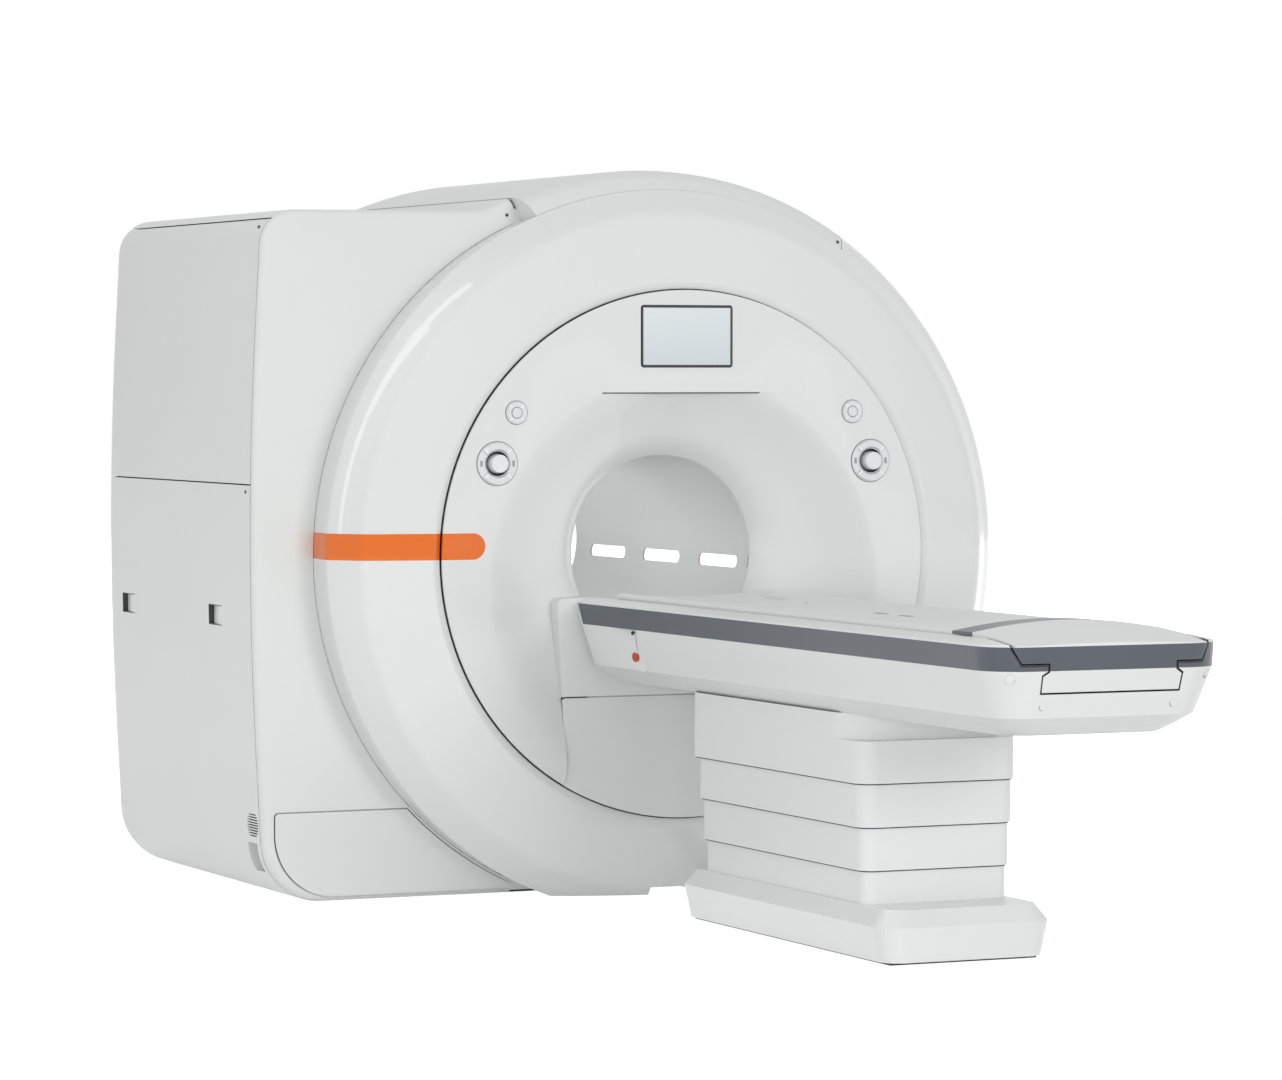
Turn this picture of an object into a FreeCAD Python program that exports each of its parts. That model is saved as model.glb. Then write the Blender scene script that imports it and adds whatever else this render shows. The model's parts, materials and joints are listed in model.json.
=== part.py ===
import FreeCAD, Part
import math
import os

# Whole-body magnetic resonance scanner with a docked patient table.
# Millimetres, +Z up. The origin is on the floor under the isocentre, the patient enters along +Y.

Vec = FreeCAD.Vector

# Walls and clearances
COVER = 8.0  # wall of the moulded covers
SEAM = 4.0  # open joint between two covers
FIT = 0.3  # gap of curved faces that touch
RUN = 0.5  # running gap of a sliding face
FLOOR_GAP = 4.0  # covers stop this far above the floor

# Gantry
AXIS_Z = 1046.0  # bore axis above the floor
BORE_R = 300.0
BORE_LENGTH = 1322.0  # cylindrical part of the bore
FUNNEL_DEPTH = 188.0  # from the face plane back to the bore mouth
GANTRY_DEPTH = 1700.0  # from the face plane to the rear plane
FACE_Y = -(BORE_LENGTH / 2 + FUNNEL_DEPTH)
REAR_Y = FACE_Y + GANTRY_DEPTH
MOUTH_Y = FACE_Y + FUNNEL_DEPTH
BORE_REAR_Y = MOUTH_Y + BORE_LENGTH
LINER_WALL = 6.0
REAR_HOLE_R = 400.0

# Front ring and face
SEAM_R = 805.0  # joint between the ring cover and the face cover
CREASE_R = 1035.0
CREASE_DEPTH = 50.0
RING_R = 1112.0  # outer edge of the ring's bevel
RING_DEPTH = 157.0
BAND_R = 1101.0  # ring's side band where it meets the wing
GANTRY_R = 1176.0  # curved top and side covers
SHOULDER_DEPTH = 300.0  # depth where the bevel has grown to GANTRY_R
TOP_START = 57.0  # top cover, degrees from +X towards +Z
TOP_END = 112.7
TOP_END_X = GANTRY_R * math.cos(math.radians(TOP_END))
REAR_ROUND = 70.0
NOTCH = (-100.0, 230.0, 28.0)  # floor notch of the ring: x from, x to, height

# Dished part of the face: depth, height of the centre over the axis, radius
DISH = ((0.0, -95.0, 655.0), (25.0, -90.0, 600.0), (70.0, -75.0, 520.0), (120.0, -28.0, 395.0))
MOUTH_LIP = 2.0  # step from the face cover to the liner
BROW_Z = 1538.0
DISPLAY = (302.0, 184.0, 1708.0)  # width, height, centre height
DISPLAY_GAP = 3.0

# Dock pillar and lower panel
PILLAR_DEPTH = 55.0  # front plane behind the face plane
PILLAR_TOP = 915.0
PILLAR_SPLIT = 615.0
PILLAR_HALF_TOP = 406.0
PILLAR_HALF_LOW = 391.0
PANEL_STEP_Z = 370.0
PANEL_FLARE = 9.0
PANEL_STEP = 17.0
PANEL_FLAT_Z = 300.0

# Controls on the face: x, z, outer radius
SMALL_CONTROL = (562.5, 1478.0, 36.5)
LARGE_CONTROL = (625.5, 1326.0, 67.0)
KNOB_R = 29.0
KNOB_PROUD = 28.0
KNOB_WELL_R = 37.5
KEY_IN_R = 43.0
KEY_OUT_R = 61.0
KEY_HALF_ANGLE = 50.0
KEY_PROUD = 5.0
BUTTON_R = 15.0
PAD_R = 31.0

# Wing on the left
WING_FRONT = 292.0  # depth of its front plane
WING_LEFT = 1312.0
WING_TOP = 2086.0
WING_FOOT_R = 190.0
WING_HEAD_R = 110.0
WING_FRONT_ROUND = 26.0
SIDE_SPLIT_Z = 1262.0
ROOF_SPLIT_Z = 2060.0
SIDE_FRONT = 316.0  # depth where the side panels start
PANEL_EDGE_X = -1000.0  # inner edge of the side panels
ACCESS_TOP = 276.0

# Magnet
VESSEL_R = 950.0
VESSEL_BORE_R = 450.0
VESSEL_FRONT = 240.0
VESSEL_LENGTH = BORE_LENGTH + 1
VESSEL_WALL = 12.0
FRAME_FRONT = SHOULDER_DEPTH + COVER
FRAME_WALL = 8.0
FRAME_BAND = 40.0  # width of the frame's rim in the wing

# Patient table, lengths along Y measured from the face plane
TABLE_HALF = 345.0
TABLE_HEAD = 52.0
TABLE_FOOT = -2588.0
BODY_HEAD = 31.0  # head end under the slate band
DECK_Z = 902.0  # upper edge of the slate band
DECK_TOP = 919.0
BAND_Z = 840.0  # lower edge of the slate band
BAND_WALL = 5.0
KEEL_Z = 667.0
RAIL_Z = 857.0  # ledge that the tabletop runs on
CHANNEL_FLOOR = 780.0
CHANNEL_HALF = 205.0
TOP_Z = 932.0  # tabletop edge
TOP_HALF = 264.0
TOP_HEAD = -30.0
CAP_START = TABLE_FOOT + 238
CAP_GAP = 3.0
ARCH_LENGTH = 110.0
TABLE_TRAVEL = 1900.0

# Lift column and base
COLUMN_HALF = 248.0
COLUMN_FRONT = -1653.0
COLUMN_BACKS = (-540.0, -567.0, -583.0, -599.0)  # upper, second, third, lower sleeve
COLUMN_CORNER = 60.0
SLEEVE_STEP = 8.0
SLEEVE_WALL = 5.0
SLEEVES = {  # bottom, top
    "upper_sleeve": (480.0, KEEL_Z),
    "second_sleeve": (360.0, 502.0),
    "third_sleeve": (241.0, 382.0),
    "lower_sleeve": (150.0, 262.0),
}
SHELF_Z = 596.0
BASE_TOP = 150.0
BASE_HALF = 247.0
BASE_HEAD = -512.0
BASE_FOOT = -1812.0
ANCHOR_DEPTHS = (-1722.0, -560.0)
RECESS_FOOT = -375.0  # hand recess in the table's sides: its upright foot edge and its bottom
RECESS_LOW = 712.0
RECESS_FACING = (1.0, -0.224, -0.099)  # outward normal of its floor
LEVER_PIVOT = (314.4, -302.0, 825.0)  # on the recess's floor: x, depth, z
LEVER_REACH = (-4.5, -69.0)
LEVER_PAD_R = 14.0
LEVER_PIN_R = 4.0
PIN_DEPTH = 5.0
LIFT_Y = (-1390.0, -850.0)
LIFT_SIZE = 120.0
LIFT_WALL = 6.0
LIFT_GAP = 0.8
PULLEY_R = 20.0
BELT_Z = 725.0
BELT_ENDS = (-170.0, -2430.0)
BELT_WALL = 3.0
DUCT = (110.0, 190.0, 22.0)  # x from, x to, height of the floor duct


def back(depth):
    """Y of a plane that lies depth behind the face plane."""
    return FACE_Y + depth


# --- shape helpers ---


def box(x0, x1, y0, y1, z0, z1):
    return Part.makeBox(x1 - x0, y1 - y0, z1 - z0, Vec(x0, y0, z0))


def rod_x(radius, x0, x1, y, z):
    return Part.makeCylinder(radius, x1 - x0, Vec(x0, y, z), Vec(1, 0, 0))


def rod_y(radius, y0, y1, x=0.0, z=AXIS_Z):
    return Part.makeCylinder(radius, y1 - y0, Vec(x, y0, z), Vec(0, 1, 0))


def rod_z(radius, z0, z1, x, y):
    return Part.makeCylinder(radius, z1 - z0, Vec(x, y, z0), Vec(0, 0, 1))


def tube_y(outer, inner, y0, y1, x=0.0, z=AXIS_Z):
    return rod_y(outer, y0, y1, x, z).cut(rod_y(inner, y0 - 1, y1 + 1, x, z))


PLANES = {
    "XZ": (lambda u, v, w: Vec(u, w, v), Vec(0, 1, 0)),
    "YZ": (lambda u, v, w: Vec(w, u, v), Vec(1, 0, 0)),
    "XY": (lambda u, v, w: Vec(u, v, w), Vec(0, 0, 1)),
}


def rounded_corner(before, point, after):
    """Start, middle and end of the arc at a corner (u, v, radius)."""
    here = Vec(point[0], point[1], 0)
    if len(point) < 3:
        return here, None, here
    to_before = (Vec(before[0], before[1], 0) - here).normalize()
    to_after = (Vec(after[0], after[1], 0) - here).normalize()
    half = to_before.getAngle(to_after) / 2
    reach = point[2] / math.tan(half)
    bisector = (to_before + to_after).normalize()
    middle = here + bisector * (point[2] / math.sin(half) - point[2])
    return here + to_before * reach, middle, here + to_after * reach


def outline(points, plane="XY", level=0.0):
    """Closed wire through (u, v) points, rounded at each (u, v, radius)."""
    place = PLANES[plane][0]
    count = len(points)
    corners = [rounded_corner(points[i - 1], points[i], points[(i + 1) % count]) for i in range(count)]
    edges = []
    for i in range(count):
        end = corners[i - 1][2]
        start, middle, leave = corners[i]
        if (start - end).Length > 1e-6:
            edges.append(Part.makeLine(place(end.x, end.y, level), place(start.x, start.y, level)))
        if middle:
            arc = [place(p.x, p.y, level) for p in (start, middle, leave)]
            edges.append(Part.Arc(*arc).toShape())
    return Part.Wire(Part.__sortEdges__(edges))


def prism(points, plane, low, high):
    face = Part.Face(outline(points, plane, low))
    return face.extrude(PLANES[plane][1] * (high - low))


def left_normal(a, b):
    along = Vec(b[0] - a[0], b[1] - a[1], 0).normalize()
    return Vec(-along.y, along.x, 0)


def shifted(points, wall, closed=False):
    """The path moved to its left by wall, its corners mitred and its radii kept concentric."""
    moved = []
    count = len(points)
    for i, point in enumerate(points):
        into = left_normal(points[i - 1], point) if closed or i > 0 else None
        out = left_normal(point, points[(i + 1) % count]) if closed or i < count - 1 else None
        into = into or out
        out = out or into
        mitre = (into + out).normalize()
        step = mitre * (wall / mitre.dot(into))
        corner = [point[0] + step.x, point[1] + step.y]
        if len(point) > 2:
            turns_left = into.x * out.y - into.y * out.x > 0
            corner.append(point[2] - wall if turns_left else point[2] + wall)
        moved.append(tuple(corner))
    return moved


def skin(points, wall):
    """Closed outline of a wall that lies to the left of an open path."""
    return list(points) + shifted(points, wall)[::-1]


def turned(points, start, sweep, x=0.0, z=AXIS_Z):
    """Outline of (radius, y) points turned about a line along Y, degrees from +X towards +Z."""
    face = Part.Face(outline(points))
    face.rotate(Vec(0, 0, 0), Vec(0, -1, 0), start)
    body = face.revolve(Vec(0, 0, 0), Vec(0, -1, 0), sweep)
    body.translate(Vec(x, 0, z))
    return body


def lofted(wires, ruled=True):
    return Part.makeLoft(wires, True, ruled)


def both_sides(shape):
    """The shape and its mirror image across X = 0."""
    return shape, shape.mirror(Vec(0, 0, 0), Vec(1, 0, 0))


def joined(shapes):
    first, *rest = shapes
    return first.multiFuse(rest).removeSplitter() if rest else first


def mirrored_pair(shape):
    return joined(both_sides(shape))


def mirror_points(half_points):
    """Closed outline from its right half, listed from the bottom centre outwards and up."""
    return list(half_points) + [(-p[0], *p[1:]) for p in reversed(half_points)]


PIECES = {}


def keep(name, shape):
    PIECES[name] = shape


def keep_sides(name, right):
    PIECES[name + "_right"], PIECES[name + "_left"] = both_sides(right)


# --- magnet ---


def magnet_vessel():
    front = back(VESSEL_FRONT)
    rear = front + VESSEL_LENGTH
    shell = tube_y(VESSEL_R, VESSEL_BORE_R, front, rear)
    outer = VESSEL_R - VESSEL_WALL
    inner = VESSEL_BORE_R + VESSEL_WALL
    return shell.cut(tube_y(outer, inner, front + VESSEL_WALL, rear - VESSEL_WALL))


def magnet_cradle():
    """Floor plate with two saddles, drilled for floor anchors."""
    plate = box(-650, 650, back(349), back(1349), 0, 16)
    saddle = [(-620, 16), (620, 16), (620, 330, 60), (460, 420, 60), (-460, 420, 60), (-620, 330, 60)]
    saddles = [prism(saddle, "XZ", back(d), back(d + 100)) for d in (429, 1169)]
    cradle = joined([plate, *saddles]).cut(rod_y(VESSEL_R + FIT, back(300), back(1400)))
    for x in (-600, 600):
        for y in (-440, 440):
            cradle = cradle.cut(rod_z(11, -1, 17, x, y))
    return cradle


def helium_vessel():
    """Inner vessel on radial suspension rods."""
    front = back(VESSEL_FRONT + 60)
    rear = front + VESSEL_LENGTH - 120
    outer = VESSEL_R - 50
    shell = tube_y(outer, VESSEL_BORE_R + 50, front, rear)
    hollow = tube_y(outer - COVER, VESSEL_BORE_R + 50 + COVER, front + COVER, rear - COVER)
    rods = []
    for turn in range(45, 360, 90):
        for y in (front + 150, rear - 150):
            rod = rod_z(14, outer - 4, VESSEL_R - VESSEL_WALL - FIT * 2, 0, y)
            rod.rotate(Vec(0, y, 0), Vec(0, 1, 0), turn)
            rod.translate(Vec(0, 0, AXIS_Z))
            rods.append(rod)
    return joined([shell, *rods]).cut(hollow)


def superconducting_coils():
    """Six windings round the helium vessel's inner tube, symmetric about the isocentre."""
    seat = VESSEL_BORE_R + 50 + COVER + FIT
    coils = []
    for centre, width in ((75, 60), (240, 80), (450, 150)):
        for side in (-1, 1):
            middle = side * centre
            coils.append(tube_y(seat + 60, seat, middle - width / 2, middle + width / 2))
    return Part.makeCompound(coils)


def gradient_coil():
    """Cast coil cylinder, wedged in the magnet's bore at its ends."""
    half = 570.0
    coil = tube_y(VESSEL_BORE_R - 12, 345, -half, half)
    wedges = [tube_y(VESSEL_BORE_R - FIT, VESSEL_BORE_R - 14, y, y + 40) for y in (-half, half - 40)]
    return joined([coil, *wedges])


def body_coil():
    half = 560.0
    return tube_y(345 - FIT, BORE_R + LINER_WALL * 2 + 2, -half, half)


def cold_head():
    """Refrigerator turret on top of the vessel, with its flange and motor."""
    x, y = -180.0, 120.0
    turret = rod_z(110, AXIS_Z + VESSEL_R - 60, 2040, x, y)
    flange = rod_z(130, 2025, 2040, x, y)
    motor = rod_z(62, 2040, 2150, x, y)
    cap = box(x - 50, x + 110, y - 40, y + 40, 2080, 2130)
    return joined([turret, flange, motor, cap]).cut(rod_y(VESSEL_R + FIT, y - 200, y + 200))


# --- patient bore ---


def light_slots(grow):
    """Three long rounded slots a side through the liner's wall, at arm height."""
    slots = []
    for depth in (412, 838, 1260):
        y = back(depth)
        half, tall = 140 + grow, 19 + grow
        z = AXIS_Z - 38
        corners = [(y - half, z - tall, tall - 1), (y + half, z - tall, tall - 1)]
        corners += [(y + half, z + tall, tall - 1), (y - half, z + tall, tall - 1)]
        slots += both_sides(prism(corners, "YZ", BORE_R - 20, BORE_R + 40))
    return Part.makeCompound(slots)


def bore_liner():
    start = MOUTH_Y + COVER
    tube = tube_y(BORE_R + LINER_WALL, BORE_R, start, BORE_REAR_Y)
    flange = tube_y(BORE_R + LINER_WALL * 2, BORE_R, start, start + COVER)
    return joined([tube, flange]).cut(light_slots(0))


def bore_light_windows():
    """Diffusers behind the liner's slots."""
    outside = BORE_R + LINER_WALL + FIT
    return tube_y(outside + 5, outside, back(200), back(1450)).common(light_slots(6))


def bore_bridge():
    """Track on the bore's floor, open underneath, level with the table's rails."""
    start = MOUTH_Y + RUN
    above = RAIL_Z - AXIS_Z
    track = rod_y(BORE_R - FIT, start, BORE_REAR_Y)
    track = track.common(box(-BORE_R, BORE_R, start, BORE_REAR_Y, 0, AXIS_Z + above))
    hollow = rod_y(BORE_R - 12, start - 1, BORE_REAR_Y + 1)
    return track.cut(hollow.common(box(-BORE_R, BORE_R, start - 1, BORE_REAR_Y + 1, 0, RAIL_Z - 10)))


# --- front covers ---


def floor_cut(shape):
    """The part of a gantry cover above the floor gap, with the notch in it."""
    above = box(-1400, 1400, back(-10), back(1800), FLOOR_GAP, 2400)
    notch = box(NOTCH[0], NOTCH[1], back(-10), back(320), 0, NOTCH[2])
    return shape.common(above).cut(notch)


def ring_profile(edge):
    """Lip, bevel and crease of the ring, then the points of its outer edge."""
    lip = SEAM_R + SEAM / 2
    start = [(lip, back(38)), (lip, back(12)), (lip + 23, back(0), 12), (CREASE_R, back(CREASE_DEPTH), 60)]
    return start + edge


def front_ring_cover():
    """Tapered ring: a stepped edge on the left where the wing stands, a full bevel on the right."""
    left = ring_profile([(RING_R, back(RING_DEPTH), 14), (BAND_R, back(WING_FRONT + 14))])
    top = ring_profile([(RING_R, back(RING_DEPTH - SEAM / 2))])
    right = ring_profile(shoulder(RING_DEPTH) + [(GANTRY_R, back(SHOULDER_DEPTH - SEAM))])
    sectors = [
        turned(skin(left, COVER), TOP_END, 270 - TOP_END),
        turned(skin(right, COVER), -90, 90 + TOP_START),
        turned(skin(top, COVER), TOP_START, TOP_END - TOP_START),
    ]
    return floor_cut(joined(sectors))


def shoulder(start):
    """Bevel that carries the ring's slope on to the gantry's full radius."""
    points = [(RING_R, back(start)), (1152.0, back(200), 60)]
    return points if start > RING_DEPTH else [(RING_R, back(start), 60), points[1], (1170.0, back(240), 60)]


def dish_surface(step, depth_end, last_r):
    """Solid in front of the dished face, moved back by step."""
    wires = []
    for depth, lift, radius in (*DISH, (depth_end, 0.0, last_r)):
        centre = Vec(0, back(depth + step), AXIS_Z + lift)
        circle = Part.Circle(centre, Vec(0, 1, 0), radius)
        wires.append(Part.Wire(circle.toShape()))
    return lofted(wires, False)


def control_places(control):
    return [(-control[0], control[1]), (control[0], control[1])]


def display_outline(grow):
    half_w, half_h = DISPLAY[0] / 2 + grow, DISPLAY[1] / 2 + grow
    z = DISPLAY[2]
    right = [(half_w, z - half_h, 10), (half_w, z + half_h, 10)]
    return mirror_points(right)


def panel_notch(grow):
    """Opening for the lower front panel: straight sides, a small step, open at the bottom."""
    half = PILLAR_HALF_LOW + grow
    top = PILLAR_SPLIT + grow
    wide = half + PANEL_STEP
    half_points = [(wide, 100), (wide, PANEL_STEP_Z - 8), (half + PANEL_FLARE, PANEL_STEP_Z + 15)]
    half_points.append((half, top, 9))
    return mirror_points(half_points)


def front_face_cover():
    """Dished face round the bore mouth, with the brow ledge over it."""
    lip = BORE_R + MOUTH_LIP
    face_r = SEAM_R - SEAM / 2
    disc = rod_y(face_r, back(0), back(COVER))
    hump = dish_surface(COVER, FUNNEL_DEPTH, lip + 10)
    dish = dish_surface(0, FUNNEL_DEPTH, lip)
    opening = joined([dish, rod_y(lip, back(FUNNEL_DEPTH - 1), back(FUNNEL_DEPTH + 20))])
    opening = opening.cut(box(-face_r, face_r, back(-1), back(120), BROW_Z, 2000))
    face = joined([disc, hump]).cut(opening)
    brow = dish.common(box(-face_r, face_r, back(0), back(120), BROW_Z, 2000))
    face = joined([face, brow])
    face = face.cut(prism(display_outline(DISPLAY_GAP), "XZ", back(-1), back(COVER + 40)))
    for control in (SMALL_CONTROL, LARGE_CONTROL):
        for x, z in control_places(control):
            face = face.cut(rod_y(control[2], back(-1), back(60), x, z))
    return face.cut(prism(panel_notch(0), "XZ", back(-1), back(400)))


def pillar_half_points(inside):
    low = PILLAR_HALF_LOW - inside
    high = PILLAR_HALF_TOP - inside
    channel = TOP_HALF + 8 + inside
    points = [(low, PILLAR_SPLIT + SEAM / 2), (high, PILLAR_TOP - inside, 20), (channel, PILLAR_TOP - inside)]
    return points + [(channel, RAIL_Z - inside)]


def dock_pillar_cover():
    """Pillar under the bore with a channel on top for the tabletop, seated in the dish."""
    front = back(PILLAR_DEPTH)
    reach = MOUTH_Y
    seat = dish_surface(-RUN, FUNNEL_DEPTH, BORE_R - RUN)
    block = prism(mirror_points(pillar_half_points(0)), "XZ", front, reach)
    bottom, *rest = pillar_half_points(COVER)
    hollow_points = mirror_points([(bottom[0], bottom[1] - 60), *rest])
    hollow = prism(hollow_points, "XZ", front + COVER, reach + 50)
    pillar = block.cut(hollow).common(seat)
    tab = box(-300, 300, front + COVER + FIT, front + COVER + 6, PILLAR_SPLIT - 22, PILLAR_SPLIT + 30)
    web = box(-300, 300, front + COVER - 1, front + COVER + 6, PILLAR_SPLIT + SEAM / 2, PILLAR_SPLIT + 30)
    return joined([pillar, tab, web])


def lower_front_panel():
    """Panel under the pillar, sloping out to the face plane and cut to the seam circle."""
    top = PILLAR_SPLIT - SEAM / 2
    front = [(back(PILLAR_DEPTH), top), (back(0), PANEL_FLAT_Z, 150), (back(0), 200)]
    plate = prism(skin(front, COVER), "YZ", -500, 500)
    wide = rod_y(SEAM_R - SEAM / 2, back(-10), back(200))
    plate = plate.common(prism(panel_notch(-SEAM / 2), "XZ", back(-10), back(200))).common(wide)
    return plate


def display_screen():
    bezel = prism(display_outline(0), "XZ", back(-1), back(COVER + 2))
    flange = prism(display_outline(8), "XZ", back(COVER) + FIT, back(COVER + 26))
    glass = prism(display_outline(-7), "XZ", back(-2), back(0))
    return joined([bezel, flange]).cut(glass)


def key_sector(inner, outer, middle, half_angle, y0, y1, x, z):
    points = [(inner, y0), (outer, y0), (outer, y1), (inner, y1)]
    return turned(points, middle - half_angle, 2 * half_angle, x, z)


def large_control(x, z):
    """Round housing: well for the turning knob and pockets for the upper and lower keys."""
    outer = LARGE_CONTROL[2] - 1.5
    front = back(-3)
    profile = [(0, back(17)), (0, back(11)), (KNOB_WELL_R, back(11)), (KNOB_WELL_R, front)]
    profile += [(outer, front, 2), (outer, back(COVER)), (outer + 9, back(COVER)), (outer + 9, back(17))]
    housing = turned(profile, 0, 360, x, z).cut(rod_y(6.5, back(10), back(30), x, z))
    for middle in (90, 270):
        radii = (KEY_IN_R - RUN, KEY_OUT_R + RUN)
        housing = housing.cut(key_sector(*radii, middle, KEY_HALF_ANGLE + 0.6, front - 1, back(5), x, z))
    for side in (-1, 1):
        dimple = box(-4, 4, front - 1, front + 1.5, z - 9, z + 9)
        dimple.translate(Vec(x + side * 52, 0, 0))
        housing = housing.cut(dimple)
    return housing


def small_control(x, z):
    outer = SMALL_CONTROL[2] - 1.5
    front = back(-2)
    profile = [(0, back(14)), (0, back(5)), (PAD_R + RUN, back(5)), (PAD_R + RUN, front)]
    profile += [(outer, front), (outer, back(COVER)), (outer + 8, back(COVER)), (outer + 8, back(14))]
    return turned(profile, 0, 360, x, z)


def jog_knob(x, z):
    face = back(-KNOB_PROUD)
    floor = back(11 - FIT)
    profile = [(0, face), (KNOB_R - 2, face, 4), (KNOB_R, floor), (6, floor), (6, back(24)), (0, back(24))]
    knob = turned(profile, 0, 360, x, z)
    for turn in range(0, 360, 30):
        angle = math.radians(turn)
        grip_x = x + (KNOB_R + 1) * math.cos(angle)
        grip_z = z + (KNOB_R + 1) * math.sin(angle)
        knob = knob.cut(rod_y(2.2, face + 6, floor - 4, grip_x, grip_z))
    return knob


def four_way_key(x, z):
    """Ring-shaped pad with four raised quarters."""
    pad = tube_y(PAD_R, BUTTON_R + RUN, back(-4), back(3), x, z)
    for turn in (45, 135):
        groove = box(-PAD_R - 1, PAD_R + 1, back(-5), back(-2.8), -0.8, 0.8)
        groove.rotate(Vec(0, 0, 0), Vec(0, 1, 0), turn)
        groove.translate(Vec(x, 0, z))
        pad = pad.cut(groove)
    return pad


# --- top, side and rear covers ---


def rear_edge():
    """Outer edge from the shoulder to the rear plane, rounded over."""
    flat = GANTRY_R - REAR_ROUND - 2
    return [(GANTRY_R, back(SHOULDER_DEPTH + 10)), (GANTRY_R, REAR_Y, REAR_ROUND), (flat, REAR_Y)]


def top_cover():
    start = RING_DEPTH + SEAM / 2
    path = [(RING_R + 1, back(start)), (1152.0, back(200), 60), (1170.0, back(240), 60)] + rear_edge()
    gap = math.degrees(SEAM / 2 / GANTRY_R)
    cover = turned(skin(path, COVER), TOP_START + gap, TOP_END - TOP_START - 2 * gap)
    cheek_end = back(FRAME_FRONT - RUN)
    cheek = path[:4] + [(BAND_R - COVER, path[3][1]), (BAND_R - COVER, back(start))]
    cheek = turned(cheek, TOP_END - gap - 0.4, 0.4).cut(box(-GANTRY_R, 0, cheek_end, REAR_Y, 1800, 2400))
    return joined([cover, cheek])


def right_side_cover():
    """Curved upper part, straight skirt and a return behind the ring's edge."""
    path = [(GANTRY_R, back(SHOULDER_DEPTH))] + rear_edge()[1:]
    gap = math.degrees(SEAM / 2 / GANTRY_R)
    curve = turned(skin(path, COVER), 0, TOP_START - gap)
    skirt = prism(skin(path, COVER), "XY", FLOOR_GAP, AXIS_Z)
    corner = box(400, GANTRY_R, back(SHOULDER_DEPTH), back(SHOULDER_DEPTH + COVER), FLOOR_GAP, AXIS_Z)
    return joined([curve, skirt, corner.cut(rod_y(GANTRY_R - 22, back(0), back(600)))])


def wing_outline(inside):
    """Front view of the wing: fairing down from the top cover, roof, bowed side, floor."""
    fairing_x = GANTRY_R * math.cos(math.radians(TOP_END + 0.3))
    fairing_z = AXIS_Z + GANTRY_R * math.sin(math.radians(TOP_END + 0.3))
    path = [(fairing_x, fairing_z), (-545, WING_TOP + 5, 90), (-1258, WING_TOP, WING_HEAD_R)]
    path += [(-WING_LEFT, 1100, 12000), (-1255, FLOOR_GAP, WING_FOOT_R), (fairing_x, FLOOR_GAP)]
    if inside:
        path = shifted(path, inside)
    return path


def wing_block(inside):
    """The wing's volume, its front and rear edges rounded in steps."""
    sections = []
    for turn in (0, 30, 60, 90):
        angle = math.radians(turn)
        radius = WING_FRONT_ROUND - inside
        drop = radius * (1 - math.cos(angle))
        sections.append((back(WING_FRONT) + inside + radius - radius * math.sin(angle), drop))
    sections.reverse()
    for turn in (0, 22, 45, 67, 90):
        angle = math.radians(turn)
        radius = REAR_ROUND - inside
        drop = radius * (1 - math.cos(angle))
        sections.append((REAR_Y - inside - radius + radius * math.sin(angle), drop))
    return lofted([outline(wing_outline(inside + drop), "XZ", y) for y, drop in sections])


def access_prism(grow, y0, y1):
    """Front access panel: level top, an edge that follows the ring, a rounded foot corner."""
    left, low, top = -1228 - grow, 17 - grow, ACCESS_TOP + grow
    ring_r = BAND_R + 10 - grow
    ring_x = -math.sqrt(ring_r**2 - (AXIS_Z - low) ** 2)
    plate = prism([(left, top, 12), (left, low, WING_FOOT_R), (ring_x, low), (-450, top)], "XZ", y0, y1)
    return plate.cut(rod_y(ring_r, y0 - 1, y1 + 1))


def wing_panels():
    """Wing skin parted into the front cover with the roof, two side panels and the access panel."""
    ring_hole = rod_y(BAND_R + 2, back(WING_FRONT - 5), back(WING_FRONT + 60))
    rear_window = prism(wing_outline(REAR_ROUND + 1), "XZ", REAR_Y - COVER - 1, REAR_Y + 1)
    rear_end = REAR_Y + 1
    floor_window = box(PANEL_EDGE_X - 40, 0, back(WING_FRONT + 40), rear_end, 0, FLOOR_GAP + COVER + 1)
    foot_top = FLOOR_GAP + REAR_ROUND + COVER
    foot_window = box(PANEL_EDGE_X, 0, REAR_Y - REAR_ROUND - 30, rear_end, 0, foot_top)
    inner_window = box(-600, 0, REAR_Y - REAR_ROUND - 30, rear_end, 0, ROOF_SPLIT_Z - 60)
    shell = wing_block(0).cut(wing_block(COVER)).cut(rear_window).cut(floor_window)
    shell = shell.cut(foot_window).cut(inner_window).cut(ring_hole)
    half = SEAM / 2
    side_y = (back(SIDE_FRONT) + half, rear_end)
    upper_box = box(-1400, PANEL_EDGE_X, *side_y, SIDE_SPLIT_Z + half, ROOF_SPLIT_Z - half)
    lower_box = box(-1400, PANEL_EDGE_X, *side_y, FLOOR_GAP - 1, SIDE_SPLIT_Z - half)
    front_side = box(-1400, PANEL_EDGE_X, back(0), back(SIDE_FRONT) - half, 0, ROOF_SPLIT_Z + half)
    roof = box(-1400, 0, back(0), REAR_Y + 1, ROOF_SPLIT_Z + half, 2400)
    middle = box(PANEL_EDGE_X, 0, back(0), REAR_Y + 1, 0, ROOF_SPLIT_Z + half)
    upper = shell.common(upper_box)
    lower = shell.common(lower_box)
    front = shell.common(joined([front_side, roof, middle]))
    y0, y1 = back(WING_FRONT), back(WING_FRONT + COVER)
    front = front.cut(access_prism(half, y0 - 1, y1 + 1))
    ledge = access_prism(12, y1, y1 + 3).cut(access_prism(-12, y1 - 1, y1 + 4)).common(wing_block(2))
    front = joined([front, ledge.cut(ring_hole)])
    panel = access_prism(-half, y0, y1).common(wing_block(0))
    return front, upper, with_pulls(lower), panel


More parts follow.
